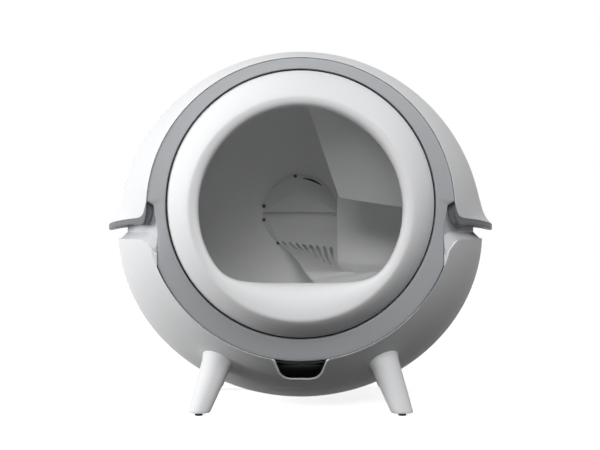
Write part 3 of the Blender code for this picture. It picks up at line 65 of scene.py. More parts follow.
def fullTurn(steps):
    # evenly spaced angles once round
    return np.linspace(0, 2 * math.pi, steps, endpoint=False)


def circleOutline(first, second, radius, steps):
    # a circle round a centre, as pairs
    angle = fullTurn(steps)
    return np.column_stack([first + radius * np.cos(angle), second + radius * np.sin(angle)])


def frontLoop(outline, y):
    # an (x, z) outline as points at one y
    return np.column_stack([outline[:, 0], np.full(len(outline), y), outline[:, 1]])


def levelLoop(outline, z):
    # an (x, y) outline as points at one height
    return np.column_stack([outline, np.full(len(outline), z)])


def quadGrid(rows, columns, wrapRows=False, wrapColumns=False):
    # corner numbers of the quads between neighbouring rows and columns of points
    row = np.arange(rows if wrapRows else rows - 1)[:, None]
    column = np.arange(columns if wrapColumns else columns - 1)[None, :]
    nextRow = (row + 1) % rows
    nextColumn = (column + 1) % columns
    corners = [row * columns + column, row * columns + nextColumn,
               nextRow * columns + nextColumn, nextRow * columns + column]
    return np.stack(corners, axis=-1).reshape(-1, 4)


def meshFrom(name, points, quads, sharpAngle=meshing["sharpAngle"]):
    # points and corner numbers put into a mesh, which is welded, turned outwards and smoothed
    mesh = bpy.data.meshes.new(name)
    flat = np.ascontiguousarray(points.reshape(-1, 3), dtype=np.float32)
    mesh.vertices.add(len(flat))
    mesh.vertices.foreach_set("co", flat.ravel())
    mesh.loops.add(quads.size)
    mesh.loops.foreach_set("vertex_index", quads.ravel().astype(np.int32))
    mesh.polygons.add(len(quads))
    mesh.polygons.foreach_set("loop_start", np.arange(0, quads.size, 4, dtype=np.int32))
    mesh.update(calc_edges=True)
    work = bmesh.new()
    work.from_mesh(mesh)
    bmesh.ops.remove_doubles(work, verts=work.verts, dist=meshing["weld"])
    bmesh.ops.dissolve_degenerate(work, edges=work.edges, dist=meshing["sliver"])
    bmesh.ops.recalc_face_normals(work, faces=work.faces)
    work.to_mesh(mesh)
    work.free()
    mesh.shade_smooth()
    mesh.set_sharp_from_angle(angle=math.radians(sharpAngle))
    piece = bpy.data.objects.new(name, mesh)
    bpy.context.scene.collection.objects.link(piece)
    return piece


def closedGrid(name, grid, sharpAngle=meshing["sharpAngle"]):
    # a grid that closes on itself both ways
    return meshFrom(name, grid, quadGrid(grid.shape[0], grid.shape[1], True, True), sharpAngle)


def walledSheet(name, outer, inner, crown=False, sharpAngle=meshing["sharpAngle"]):
    # two grids joined along their border; with a crown the last row folds onto itself and stays open
    rows, columns = outer.shape[:2]
    index = np.arange(rows * columns).reshape(rows, columns)
    border = np.concatenate([index[::-1, 0], index[0, 1:], index[1:, -1]])
    if not crown:
        border = np.concatenate([border, index[-1, -2::-1]])
    count = rows * columns
    rim = np.stack([border[:-1], border[1:], border[1:] + count, border[:-1] + count], axis=1)
    faces = quadGrid(rows, columns)
    quads = np.concatenate([faces, faces[:, ::-1] + count, rim])
    points = np.concatenate([outer.reshape(-1, 3), inner.reshape(-1, 3)])
    return meshFrom(name, points, quads, sharpAngle)


def loopTube(name, sections):
    # closed outlines one after another, whose two ends run together on their middle
    sections = np.stack(sections)
    columns = sections.shape[1]
    low, high = (np.repeat(sections[[end]].mean(axis=1, keepdims=True), columns, axis=1) for end in (0, -1))
    sections = np.concatenate([low, sections, high])
    return meshFrom(name, sections, quadGrid(len(sections), columns, False, True))


def prism(name, outline, ends):
    # an (x, z) outline carried straight from one y to another
    return loopTube(name, [frontLoop(outline, y) for y in ends])


def boxMesh(name, low, high):
    # a box between two opposite corners
    outline = np.array([(low[0], low[1]), (high[0], low[1]), (high[0], high[1]), (low[0], high[1])])
    return loopTube(name, [levelLoop(outline, z) for z in (low[2], high[2])])


def turnedPiece(name, profile, x, z, steps):
    # a closed (radius, y) profile carried round a line along Y
    angle = fullTurn(steps)[:, None]
    radius, y = profile.T[:, None]
    grid = np.stack(np.broadcast_arrays(x + radius * np.cos(angle), y, z + radius * np.sin(angle)), axis=-1)
    return closedGrid(name, grid)


def roundedPath(corners, steps=4, closed=True):
    # each corner (a, b, radius) becomes an arc that touches both of its sides
    corners = np.array(corners, float)
    count = len(corners)
    parts = []
    for number in range(count):
        here, radius = corners[number, :2], corners[number, 2]
        if radius <= 0 or (not closed and number in (0, count - 1)):
            parts.append(here[None])
            continue
        back = corners[number - 1, :2] - here
        ahead = corners[(number + 1) % count, :2] - here
        backLength, aheadLength = np.linalg.norm(back), np.linalg.norm(ahead)
        half = math.acos(np.clip(back @ ahead / backLength / aheadLength, -1, 1)) / 2
        reach = min(radius / max(math.tan(half), meshing["least"]),
                    meshing["arcShare"] * backLength, meshing["arcShare"] * aheadLength)
        start = here + back / backLength * reach
        end = here + ahead / aheadLength * reach
        t = np.linspace(0, 1, steps + 1)[:, None]
        weight = math.sin(half)
        top = (1 - t) ** 2 * start + 2 * weight * t * (1 - t) * here + t ** 2 * end
        parts.append(top / ((1 - t) ** 2 + 2 * weight * t * (1 - t) + t ** 2))
    return np.concatenate(parts)


def roundedBox(low, high, radius, steps=4):
    # a rectangle between two opposite corners, its corners rounded
    return roundedPath([(low[0], low[1], radius), (high[0], low[1], radius),
                        (high[0], high[1], radius), (low[0], high[1], radius)], steps)


def cutWith(piece, cutters, operation="DIFFERENCE"):
    # boolean cuts one after another, each made part of the mesh at once
    for cutter in cutters:
        step = piece.modifiers.new("cut", "BOOLEAN")
        step.operation = operation
        step.solver = "EXACT"
        step.object = cutter
        graph = bpy.context.evaluated_depsgraph_get()
        mesh = bpy.data.meshes.new_from_object(piece.evaluated_get(graph))
        piece.modifiers.clear()
        piece.data = mesh
        bpy.data.objects.remove(cutter, do_unlink=True)
    piece.data.shade_smooth()
    piece.data.set_sharp_from_angle(angle=math.radians(meshing["sharpAngle"]))


def finishPiece(piece, body, slot, finish, *nodes):
    # gives a piece its finish and the body it rides on, and hides the nodes it stands for; the slot is not
    # used
    piece.data.materials.clear()
    piece.data.materials.append(finishes[finish])
    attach(piece, body)
    if nodes:
        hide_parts(*nodes)


# finishes
class Wire:
    # a socket that maths can be written on
    def __init__(self, owner, socket):
        self.owner = owner
        self.socket = socket

    def maths(self, operation, first, second):
        # one Math node on two sockets or numbers
        return self.owner.node("ShaderNodeMath", {"operation": operation}, {0: first, 1: second})

    def __add__(self, other):
        return self.maths("ADD", self, other)

    def __sub__(self, other):
        return self.maths("SUBTRACT", self, other)

    def __rsub__(self, other):
        return self.maths("SUBTRACT", other, self)

    def __mul__(self, other):
        return self.maths("MULTIPLY", self, other)

    __radd__ = __add__
    __rmul__ = __mul__


class Nodes:
    # the nodes of a material or a world
    def __init__(self, tree):
        self.tree = tree

    def node(self, kind, settings=None, inputs=None, output=0):
        # adds a node: its settings first, then the values or links of its sockets
        made = self.tree.nodes.new(kind)
        for key, value in (settings or {}).items():
            setattr(made, key, value)
        for key, value in (inputs or {}).items():
            self.feed(made.inputs[key], value)
        return Wire(self, made.outputs[output])

    def feed(self, socket, value):
        # links a wire or writes a value
        if isinstance(value, Wire):
            self.tree.links.new(value.socket, socket)
        else:
            socket.default_value = value

    def seen(self):
        # 1 where the camera, a gloss or a clear piece looks, 0 for light on its way
        path = self.tree.nodes.new("ShaderNodeLightPath")
        camera, gloss, clear = (Wire(self, path.outputs[key]) for key in
                                ("Is Camera Ray", "Is Glossy Ray", "Is Transmission Ray"))
        return camera.maths("MAXIMUM", camera.maths("MAXIMUM", camera, gloss), clear)


class Finish(Nodes):
    # one material and its shader
    def __init__(self, name):
        self.material = bpy.data.materials.new(name)
        self.material.use_nodes = True
        super().__init__(self.material.node_tree)
        self.shader = self.tree.nodes["Principled BSDF"]

    def place(self):
        # Object coordinates
        return self.node("ShaderNodeTexCoord", output="Object")

    def noise(self, scale, detail=2.0, stretch=None):
        # noise at a scale, drawn out along a direction whose stretch is small
        spot = self.place()
        if stretch:
            inputs = {"Vector": spot, "Scale": stretch}
            spot = self.node("ShaderNodeMapping", {"vector_type": "POINT"}, inputs)
        return self.node("ShaderNodeTexNoise", {}, {"Vector": spot, "Scale": scale, "Detail": detail})

    def blend(self, share, first, second):
        # a colour between two; in colour mode the node's sockets 6 and 7 are A and B, its output 2 the result
        return self.node("ShaderNodeMix", {"data_type": "RGBA"},
                         {0: share, 6: (*first, 1.0), 7: (*second, 1.0)}, output=2)

    def set(self, values):
        # feeds the shader's own sockets
        for key, value in values.items():
            self.feed(self.shader.inputs[key], value)

    def grain(self, height, strength, distance):
        # the fine surface as a bump
        bump = self.node("ShaderNodeBump", {}, {"Height": height, "Strength": strength, "Distance": distance})
        self.set({"Normal": bump})


mould = {"cloudScale": 26.0, "cloudDetail": 3.0, "grainStrength": 0.35}
brushed = {"scale": 320.0, "detail": 3.0, "stretch": (1.0, 0.04, 1.0), "roughSpread": 0.22,
           "strength": 0.15, "depth": 0.00006}
boardLook = {"scale": 160.0, "gap": 0.03, "rough": 0.38, "grainScale": 900.0, "strength": 0.2,
             "depth": 0.00003, "mask": (0.010, 0.110, 0.045, 1.0), "maskDeep": (0.014, 0.135, 0.055, 1.0),
             "track": (0.03, 0.23, 0.10, 1.0)}


def mouldedPlastic(name, colour, rough, roughSpread, grainScale, grainDepth, mottle=0.0, shine=0.5):
    # even colour with the faintest mottling, and the fine surface of a textured mould
    made = Finish(name)
    cloud = made.noise(mould["cloudScale"], mould["cloudDetail"])
    shade = tuple(part * (1 - mottle) for part in colour)
    made.set({"Base Color": made.blend(cloud, shade, colour), "Specular IOR Level": shine,
              "Roughness": rough + (cloud - 0.5) * roughSpread})
    made.grain(made.noise(grainScale), mould["grainStrength"], grainDepth)
    return made.material


def turnedMetal(name, colour, rough):
    # metal whose roughness and bump follow drawn out streaks
    made = Finish(name)
    streak = made.noise(brushed["scale"], brushed["detail"], brushed["stretch"])
    made.set({"Base Color": (*colour, 1.0), "Metallic": 1.0,
              "Roughness": rough + (streak - 0.5) * brushed["roughSpread"]})
    made.grain(streak, brushed["strength"], brushed["depth"])
    return made.material


def circuitBoard(name):
    # green solder mask with a faint net of tracks
    made = Finish(name)
    tracks = made.node("ShaderNodeTexBrick", {"offset": 0.5}, {
        "Vector": made.place(), "Scale": boardLook["scale"], "Mortar Size": boardLook["gap"],
        "Color1": boardLook["mask"], "Color2": boardLook["maskDeep"], "Mortar": boardLook["track"]})
    made.set({"Base Color": tracks, "Roughness": boardLook["rough"]})
    made.grain(made.noise(boardLook["grainScale"]), boardLook["strength"], boardLook["depth"])
    return made.material


plastics = {
    # material, colour, roughness and its spread, scale and depth of the grain, mottling, shine
    "whiteGloss": ("white gloss plastic", (0.83, 0.835, 0.845), 0.46, 0.05, 1500.0, 0.00002, 0.008, 0.05),
    "ringGrey": ("grey satin plastic", (0.42, 0.433, 0.450), 0.44, 0.06, 1900.0, 0.00003, 0.015, 0.15),
    "trimGrey": ("dark grey satin plastic", (0.19, 0.195, 0.21), 0.44, 0.06, 1900.0, 0.00003, 0.015, 0.10),
    "neckGrey": ("light grey plastic", (0.62, 0.63, 0.65), 0.46, 0.05, 1700.0, 0.00003, 0.012, 0.08),
    "liningGrey": ("lining grey plastic", (0.80, 0.803, 0.806), 0.52, 0.06, 1500.0, 0.00005, 0.02, 0.2),
    # the lining's grey made darker for the sieve and its flange: painted shade
    "sievePaintedShadeGrey": ("sieve grey plastic with painted shade", (0.68, 0.683, 0.686), 0.46, 0.06, 1500.0, 0.00004, 0.02, 0.2),
    # the lining's grey made lighter for the bowl: painted light where light falls into it
    "bowlPaintedLightGrey": ("bowl grey plastic with painted light", (0.95, 0.953, 0.956), 0.46, 0.06, 1500.0, 0.00004, 0.02, 0.2),
    "hubGrey": ("hub grey plastic", (0.66, 0.663, 0.666), 0.46, 0.06, 1500.0, 0.00004, 0.02, 0.2),
    # the lining's grey made lighter for the roof: painted light
    "roofPaintedLightGrey": ("roof grey plastic with painted light", (0.98, 0.983, 0.986), 0.5, 0.06, 1500.0, 0.00004, 0.02, 0.2),
    # the panel's white made brighter and glossier for the notch bead: painted highlight
    "highlightWhite": ("white plastic with painted highlight", (0.94, 0.94, 0.94), 0.30, 0.05, 1500.0, 0.00002, 0.0, 0.6),
    "rubber": ("black rubber", (0.018, 0.018, 0.019), 0.72, 0.10, 1300.0, 0.00008, 0.10),
    # a darker grey for the base deck: painted shade of the inside seen through the notch
    "deckPaintedShadeGrey": ("deck grey plastic with painted shade", (0.26, 0.26, 0.262), 0.5, 0.06, 1500.0, 0.00005, 0.02, 0.1),
    "darkPlastic": ("black plastic", (0.035, 0.035, 0.038), 0.45, 0.08, 1400.0, 0.00006, 0.06),
}
finishes = {name: mouldedPlastic(*values) for name, values in plastics.items()}
finishes["steel"] = turnedMetal("steel", (0.58, 0.58, 0.59), 0.30)
finishes["board"] = circuitBoard("circuit board")
slotFinish = {
    "white_plastic": "whiteGloss", "grey_plastic": "ringGrey", "inner_grey_plastic": "liningGrey",
    "black_rubber": "rubber", "steel": "steel", "dark_plastic": "darkPlastic", "board_green": "board",
}
for part in frame["record"]["subparts"]:  # every part starts with the finish of its slot
    node = frame["nodes"][part["node"]]
    node.data.materials.clear()
    node.data.materials.append(finishes[slotFinish[part["material_slot"]]])
frame["nodes"]["base_deck"].data.materials[0] = finishes["deckPaintedShadeGrey"]  # darker than its slot's grey so that it shows dark through the notch: painted shade
print("finishes made:", len(finishes))


# casing: one smooth body surface that hood, trim, neck, shell and drawer panel share
casing = {
    "middleY": -0.015, "halfWidth": 0.290, "upperHeight": 0.286, "lowerHeight": 0.2615, "centreZ": 0.2704,
    "frontDepth": 0.200, "backDepth": 0.270, "rimRadius": 0.2273, "rimHeight": 0.2237, "rimCentreZ": 0.306,
    "wall": 0.003, "rimBlend": 0.014, "rimGap": 0.0003, "rimLeast": 0.0005,
    "frontStations": 60, "frontCrowding": 1.35, "backStations": 96, "edgeCrowding": 1.3,
}
middleY = casing["middleY"]
frontY = middleY - casing["frontDepth"]
axisZ = 0.3141  # the globe's axis


def stationTable():
    # columns of the casing grids: depth in front of the middle, direction behind it
    count = casing["frontStations"]
    depth = -casing["frontDepth"] * (1 - (np.arange(count) / count) ** casing["frontCrowding"])
    back = np.linspace(0, math.pi, casing["backStations"] + 1)
    return (np.concatenate([depth, np.zeros(len(back)), depth[::-1]]),
            np.concatenate([np.zeros(count), back, np.full(count, math.pi)]))


stationDepth, stationAngle = stationTable()


def sectionAt(depth, tall, inset=0.0):
    # half width, half height and centre at a depth: a parabola from the widest section to the front rim
    share = 1 - (depth / casing["frontDepth"]) ** 2
    width = (1 - share) * (casing["rimRadius"] - inset) + share * (casing["halfWidth"] - inset)
    height = (1 - share) * (casing["rimHeight"] - inset) + share * (tall - inset)
    centre = (1 - share) * casing["rimCentreZ"] + share * casing["centreZ"]
    return width, height, centre


def stationSizes(inset, upper):
    # the section sizes at every station, of the upper or the lower half
    return sectionAt(stationDepth, casing["upperHeight" if upper else "lowerHeight"], inset)


def casingPoints(angle, inset, upper):
    # in front of the middle each section is an ellipse, behind it the body is an ellipsoid
    width, height, centre = stationSizes(inset, upper)
    x = width * np.cos(angle) * np.cos(stationAngle)
    y = middleY + stationDepth + (casing["backDepth"] - inset) * np.cos(angle) * np.sin(stationAngle)
    z = centre + height * np.sin(angle)
    return np.stack(np.broadcast_arrays(x, y, z), axis=-1)


def angleAt(z, inset, upper):
    # the turn of each section's ellipse at which it passes a height
    width, height, centre = stationSizes(inset, upper)
    return np.arcsin(np.clip((z - centre) / height, -1, 1))


def casingAt(z, inset, upper):
    # points of the casing surface at given heights
    return casingPoints(angleAt(z, inset, upper), inset, upper)


def casingGrid(inset, upper, rows, edge):
    # rows run from the edge to the crown or belly
    end = math.pi / 2 if upper else -math.pi / 2
    share = (np.linspace(0, 1, rows + 1) ** casing["edgeCrowding"])[:, None]
    return casingPoints(mix(angleAt(edge, inset, upper), end, share), inset, upper)


def toRim(length):
    # 0 or less along the body, rising evenly to 1 at the front rim over a length
    return (-casing["frontDepth"] + length - stationDepth) / length


def frontWall(upper, rows, edge):
    # inner side of the casing's wall; at the front rim it follows the ring's edge, seen from its centre
    plain = casingGrid(casing["wall"], upper, rows, edge)
    outer = casingGrid(0, upper, rows, edge)
    near = smooth(toRim(casing["rimBlend"]))[..., None]
    across, rise = outer[..., 0], outer[..., 2] - casing["rimCentreZ"]
    radius = np.hypot(across, rise)
    cosine, sine = np.abs(across) / radius, rise / radius
    edgeRadius = 1 / np.hypot(cosine / ringSizes["radius"], sine / ringSizes["radiusZ"])
    if not upper:
        edgeRadius = np.minimum(edgeRadius, recess["x"] / np.maximum(cosine, meshing["least"]))
    scale = np.minimum(radius - casing["rimLeast"], edgeRadius + casing["rimGap"]) / radius
    rimPoint = np.stack([across * scale, outer[..., 1], casing["rimCentreZ"] + rise * scale], axis=-1)
    if not upper:
        fade = (1 - np.linspace(0, 1, rows + 1)[:, None]) ** shellSizes["innerPower"]
        rimPoint[..., 2] -= shellSizes["innerDrop"] * fade
    return mix(plain, rimPoint, near)


recess = {"x": 0.2103, "topZ": 0.3150, "quick": 0.65, "quickLength": 0.008, "slowLength": 0.045}
ringSizes = {
    "radius": 0.2262, "radiusZ": 0.2228, "centreZ": 0.306, "innerRadius": 0.1981, "backDepth": -0.1877,
    "steps": 1080,
    # round the band's section: share of the way from the outer to the inner oval, y behind the casing's front
    "section": ((0, 0.012), (0, 0.006), (0, 0.0034), (0.01, 0.0020), (0.03, 0.0012), (0.07, 0.0006),
                (0.2, -0.0002), (0.4, -0.0013), (0.6, -0.0024), (0.8, -0.0035), (0.93, -0.0042),
                (0.97, -0.0042), (0.99, -0.0036), (1, -0.0026), (1, 0.004), (1, 0.012)),
}
sealSizes = {"inner": 0.1965, "outer": 0.2025, "front": 0.0123, "back": 0.0153, "round": 0.0008, "steps": 240}


def ringEdgeX(z):
    # the ring's outer edge at a height: its oval, cut back to an upright line in the recess, quickly at the
    # recess's top and then slowly to the full amount
    height = (z - ringSizes["centreZ"]) / ringSizes["radiusZ"]
    oval = ringSizes["radius"] * np.sqrt(np.maximum(0, 1 - height ** 2))
    below = recess["topZ"] - z
    quick = recess["quick"] * smooth(below / recess["quickLength"] + 0.5)
    share = quick + (1 - recess["quick"]) * smooth(below / recess["slowLength"])
    return oval - share * np.maximum(0, oval - recess["x"])


def ringOutline(grow, steps):
    # the ring's outer edge as (x, z) points, grown by a gap
    angle = fullTurn(steps)
    centreZ, radiusZ = ringSizes["centreZ"], ringSizes["radiusZ"]
    z = centreZ + (radiusZ + grow) * np.sin(angle)
    inside = np.clip(z, centreZ - radiusZ, centreZ + radiusZ)
    side = np.where(np.cos(angle) >= 0, 1, -1) * (ringEdgeX(inside) + grow * np.abs(np.cos(angle)))
    return np.column_stack([side, z])


def makeRing():
    # a band between two ovals that leans outwards, with rounded edges
    x, z = ringOutline(0, ringSizes["steps"]).T[:, :, None]
    innerX, innerZ = circleOutline(0, axisZ, ringSizes["innerRadius"], ringSizes["steps"]).T[:, :, None]
    share, depth = np.array(ringSizes["section"]).T[:, None]
    spots = np.broadcast_arrays(mix(x, innerX, share), frontY + depth, mix(z, innerZ, share))
    ring = closedGrid("frontRing", np.stack(spots, axis=-1), meshing["roundAngle"])
    finishPiece(ring, "base", "grey_plastic", "ringGrey", "front_ring")


def makeSeal():
    # a flat rubber ring in the gap between the front ring and the globe
    profile = roundedBox((sealSizes["inner"], frontY + sealSizes["front"]),
                         (sealSizes["outer"], frontY + sealSizes["back"]), sealSizes["round"])
    seal = turnedPiece("gapSeal", profile, 0, axisZ, sealSizes["steps"])
    finishPiece(seal, "base", "black_rubber", "rubber", "front_seal")


hoodSizes = {
    "edgeZ": 0.2885, "slowRise": 0.0060, "slowPower": 1.2, "cornerRise": 0.0216, "cornerPower": 28,
    "riseStart": -0.030, "riseLength": 0.170, "wingReach": 0.0161, "wingFade": 0.0135, "wingDip": 0.0042,
    "wingCentre": -0.030, "wingHalfLength": 0.165, "rows": 64, "edgeRound": 0.0009, "roundFrom": 42,
}


def wingWindow(y):
    # squared cosine bow along Y, 1 at the middle of the side wings
    along = (y - middleY - hoodSizes["wingCentre"]) / hoodSizes["wingHalfLength"]
    return np.where(np.abs(along) < 1, np.cos(math.pi / 2 * np.clip(along, -1, 1)) ** 2, 0)


def hoodEdge():
    # level at the back, a little lower at the wings, rising slowly forwards and quickly at the front corner
    t = np.clip((hoodSizes["riseStart"] - stationDepth) / hoodSizes["riseLength"], 0, 1)
    slow = hoodSizes["slowRise"] * t ** hoodSizes["slowPower"]
    rise = slow + hoodSizes["cornerRise"] * t ** hoodSizes["cornerPower"]
    y = casingAt(np.full_like(stationDepth, hoodSizes["edgeZ"]), 0, True)[..., 1]
    return hoodSizes["edgeZ"] + rise - hoodSizes["wingDip"] * wingWindow(y) ** 2


def winged(points, share=1.0):
    # side wings: the edge stands out in the bow and fades upwards exponentially
    window = wingWindow(points[..., 1])
    above = np.maximum(0, points[..., 2] - hoodEdge())
    reach = hoodSizes["wingReach"] * share * window * np.exp(-above / hoodSizes["wingFade"])
    moved = points.copy()
    moved[..., 0] += np.sign(points[..., 0]) * reach
    return moved


def makeHood():
    # the upper casing above its edge, with wings, a wall's thickness and softly rounded edges
    outer = winged(casingGrid(0, True, hoodSizes["rows"], hoodEdge()))
    inner = winged(frontWall(True, hoodSizes["rows"], hoodEdge()))
    hood = walledSheet("hoodCover", outer, inner, crown=True)
    bevel = hood.modifiers.new("soft edges", "BEVEL")
    bevel.width = hoodSizes["edgeRound"]
    bevel.segments = 2
    bevel.limit_method = "ANGLE"
    bevel.angle_limit = math.radians(hoodSizes["roundFrom"])
    finishPiece(hood, "hood_body", "white_plastic", "whiteGloss", "hood")


trimSizes = {
    "drop": 0.0083, "wingDrop": 0.0005, "frontDrop": 0.0046, "dropStart": -0.150, "dropLength": 0.050,
    "seam": 0.0002, "lap": 0.0003, "skin": 0.0002, "round": 0.0030, "roundShare": 0.75, "roundRows": 8,
    "thickness": 0.0006, "leastThickness": 0.0008, "innerDrop": 0.0035, "neckGap": 0.0006,
    "underStart": 0.08, "underRows": 14, "sweepLength": 0.026, "sweepFade": 1.5, "sweepRound": 2.6,
    "sweepZ": 0.3215, "upstand": 0.004, "upstandInset": 0.0036, "upstandBlend": 0.0012, "topZ": 0.334,
    "topLength": 0.05, "bandInset": 0.0013, "bandUnder": 0.0012, "bandRound": 0.0011, "bandLift": 0.001,
    "sharpAngle": 60,
}


def frontFade(length):
    # 0 along the body, 1 where the ring's back face is reached
    return smooth((ringSizes["backDepth"] + length - stationDepth) / length)


def trimRow(along, front, share=1.0):
    # one row of the trim: its height and inset along the body, and those beside the ring
    z, inset = (np.where(stationDepth > ringSizes["backDepth"], *pair) for pair in zip(along, front))
    return winged(casingAt(z, inset, True), share)


def makeTrim():
    # a grey band under the hood's edge; its underside rises inwards and sweeps up at the front corner
    edge = hoodEdge() - trimSizes["seam"]
    bow = wingWindow(casingAt(edge, 0, True)[..., 1]) ** 2
    drop = trimSizes["drop"] + trimSizes["wingDrop"] * bow
    near = smooth((trimSizes["dropStart"] - stationDepth) / trimSizes["dropLength"])
    drop = drop + trimSizes["frontDrop"] * near
    bottom = edge - drop
    sweep = frontFade(trimSizes["sweepLength"]) ** trimSizes["sweepFade"]
    innerZ = edge - trimSizes["innerDrop"]
    innerZ = mix(innerZ, np.maximum(innerZ, trimSizes["sweepZ"]), sweep)
    top = mix(edge + trimSizes["upstand"], trimSizes["topZ"], frontFade(trimSizes["topLength"]))
    band = (edge, trimSizes["bandInset"])
    rounded = trimSizes["round"] * trimSizes["roundShare"]
    skin = trimSizes["lap"] + trimSizes["skin"]
    under = [trimRow((edge, trimSizes["lap"]), (edge, trimSizes["lap"]))]
    over = [trimRow((edge, skin), (edge, skin))]
    for turn in np.linspace(0, math.pi / 2, trimSizes["roundRows"]):
        z = bottom + trimSizes["round"] * (1 - math.sin(turn))
        inset = trimSizes["lap"] + rounded * (1 - math.cos(turn))
        under.append(trimRow((z, inset), (z, min(inset, trimSizes["bandRound"]))))
        over.append(trimRow((edge, inset + trimSizes["thickness"]), band))
    first = trimSizes["lap"] + rounded
    last = neckInset() - trimSizes["neckGap"]
    for share in np.linspace(trimSizes["underStart"], 1, trimSizes["underRows"]):
        inset = mix(first, last, share)
        flat = mix(bottom, innerZ, smooth(share))
        swept = mix(bottom, innerZ, 1 - math.sqrt(max(0, 1 - share ** trimSizes["sweepRound"])))
        z = mix(flat, swept, sweep)
        raised = mix(edge, top, smooth((inset - trimSizes["upstandInset"]) / trimSizes["upstandBlend"]))
        lid = np.maximum(raised, z + trimSizes["leastThickness"])
        under.append(trimRow((z, inset), (bottom + trimSizes["bandLift"], trimSizes["bandUnder"]), 1 - share))
        over.append(trimRow((lid, inset), band, 1 - share))
    trim = walledSheet("hoodTrimBand", np.stack(under), np.stack(over), sharpAngle=trimSizes["sharpAngle"])
    finishPiece(trim, "hood_body", "grey_plastic", "trimGrey", "hood_trim")


neckSizes = {
    "inset": 0.0140, "frontInset": 0.0054, "frontStart": -0.150, "seam": 0.0003, "waistRise": 0.0098,
    "lap": 0.012, "topZ": 0.336, "topLength": 0.06, "wall": 0.003, "wallRows": 6, "slopeRows": 9,
    "footInset": 0.0036, "skirt": 0.0006, "frontSkirt": 0.006, "skirtLength": 0.03, "frontDepth": -0.1985,
    "ringGap": 0.0006, "ringBack": 0.0002, "ringSteps": 360, "roomFront": 0.02,
    "cutLow": (-0.4, -0.265, 0.1), "cutHigh": (0.4, 0.5),
}


def neckInset():
    # how far the neck stands inside the casing's surface: more beside the ring
    start = neckSizes["frontStart"]
    near = smooth((start - stationDepth) / (start - ringSizes["backDepth"]))
    return neckSizes["inset"] + neckSizes["frontInset"] * near


def makeNeck():
    # upright wall, a straight slope out to the shell's edge and a skirt down inside the shell
    inset, edge = neckInset(), shellEdge() + neckSizes["seam"]
    waist = edge + neckSizes["waistRise"]
    top = mix(hoodEdge() + neckSizes["lap"], neckSizes["topZ"], frontFade(neckSizes["topLength"]))
    skirt = neckSizes["skirt"] + neckSizes["frontSkirt"] * frontFade(neckSizes["skirtLength"])
    outer, inner = [], []
    for lift in np.linspace(1, 0, neckSizes["wallRows"]):
        z = mix(waist, top, lift)
        outer.append(casingAt(z, inset, True))
        inner.append(casingAt(z, inset + neckSizes["wall"], True))
    lower = [(mix(waist, edge, step), mix(inset, neckSizes["footInset"], step))
             for step in np.linspace(0, 1, neckSizes["slopeRows"])[1:]]
    lower += [(edge - skirt * step, neckSizes["footInset"]) for step in (0.5, 1.0)]
    for z, outset in lower:
        outer.append(casingAt(z, outset, False))
        inner.append(casingAt(z, inset + neckSizes["wall"], False))
    neck = walledSheet("neckWall", np.stack(outer), np.stack(inner))
    room = prism("ringRoom", ringOutline(neckSizes["ringGap"], neckSizes["ringSteps"]),
                 (frontY - neckSizes["roomFront"], middleY + ringSizes["backDepth"] + neckSizes["ringBack"]))
    side, topZ = neckSizes["cutHigh"]
    front = boxMesh("front", neckSizes["cutLow"], (side, middleY + neckSizes["frontDepth"], topZ))
    cutWith(neck, [room, front])
    finishPiece(neck, "base", "grey_plastic", "neckGrey", "neck_frame")


shellSizes = {
    "edgeZ": 0.262, "cornerDrop": 0.0160, "cornerLength": 0.024, "cornerPower": 2.4, "innerDrop": 0.010,
    "innerPower": 6, "rows": 48, "ports": ((0.06, 0.0086), (-0.06, 0.0084)), "portZ": 0.2051,
    "portEnds": (0.10, 0.28), "portSteps": 64,
}


def shellEdge():
    # level, but rounded down at the front corner
    t = np.clip(toRim(shellSizes["cornerLength"]), 0, 1)
    return shellSizes["edgeZ"] - shellSizes["cornerDrop"] * t ** shellSizes["cornerPower"]


def lowerShellMesh(name):
    # the lower casing below its edge, with a wall's thickness
    outer = casingGrid(0, False, shellSizes["rows"], shellEdge())
    inner = frontWall(False, shellSizes["rows"], shellEdge())
    return walledSheet(name, outer, inner, crown=True)


def makeLowerShell():
    # the drawer's window and the round ports of the power inlet and the button are cut out
    shell = lowerShellMesh("lowerShellBody")
    ports = [prism("port", circleOutline(x, shellSizes["portZ"], radius, shellSizes["portSteps"]),
                   shellSizes["portEnds"]) for x, radius in shellSizes["ports"]]
    cutWith(shell, [drawerWindow("window", drawerSizes["seam"])] + ports)
    finishPiece(shell, "base", "white_plastic", "whiteGloss", "lower_shell")


drawerSizes = {
    "halfWidth": 0.090, "floorZ": 0.0345, "backY": -0.075, "seam": 0.00015, "windowLap": 0.004,
    "notchTop": 0.0390, "notchBottom": 0.0280, "notchFloorZ": 0.0528, "notchRound": 0.020,
    "notchFlare": 0.007, "notchOut": 0.0500, "notchLift": 0.0008, "notchSteps": 16,
    "cutterTopZ": 0.12, "cutterSteps": 90,
    "cutterFront": 0.01, "cutterBack": 0.10, "beadRadius": 0.0014, "beadSides": 16, "beadLap": 0.0002,
    "halvings": 40,
}
tubSizes = {
    "lowZ": 0.0357, "highZ": 0.0745, "halfWidth": 0.085, "frontY": -0.094, "frontGrow": 0.082, "backY": 0.053,
    "wall": 0.0025, "frontRound": 0.008, "backRound": 0.010, "steps": 6,
    "footRows": ((0.0, 0.0035), (0.0008, 0.0012), (0.0025, 0.0)),  # height above the floor, inset
    "rimDrop": 0.0006, "rimRound": 0.0005, "innerRound": 0.003,
}


def rimBottom(x):
    # height of the front rim's lower half at a distance from the middle
    return casing["rimCentreZ"] - casing["rimHeight"] * np.sqrt(1 - (x / casing["rimRadius"]) ** 2)


def frontDepthAt(x, z):
    # depth at which the casing's front surface passes a place seen from the front, found by halving
    low, high = np.full(len(x), -casing["frontDepth"]), np.zeros(len(x))
    for step in range(drawerSizes["halvings"]):
        depth = (low + high) / 2
        width, height, centre = sectionAt(depth, casing["lowerHeight"])
        beyond = (x / width) ** 2 + ((z - centre) / height) ** 2 > 1
        low, high = np.where(beyond, depth, low), np.where(beyond, high, depth)
    return depth


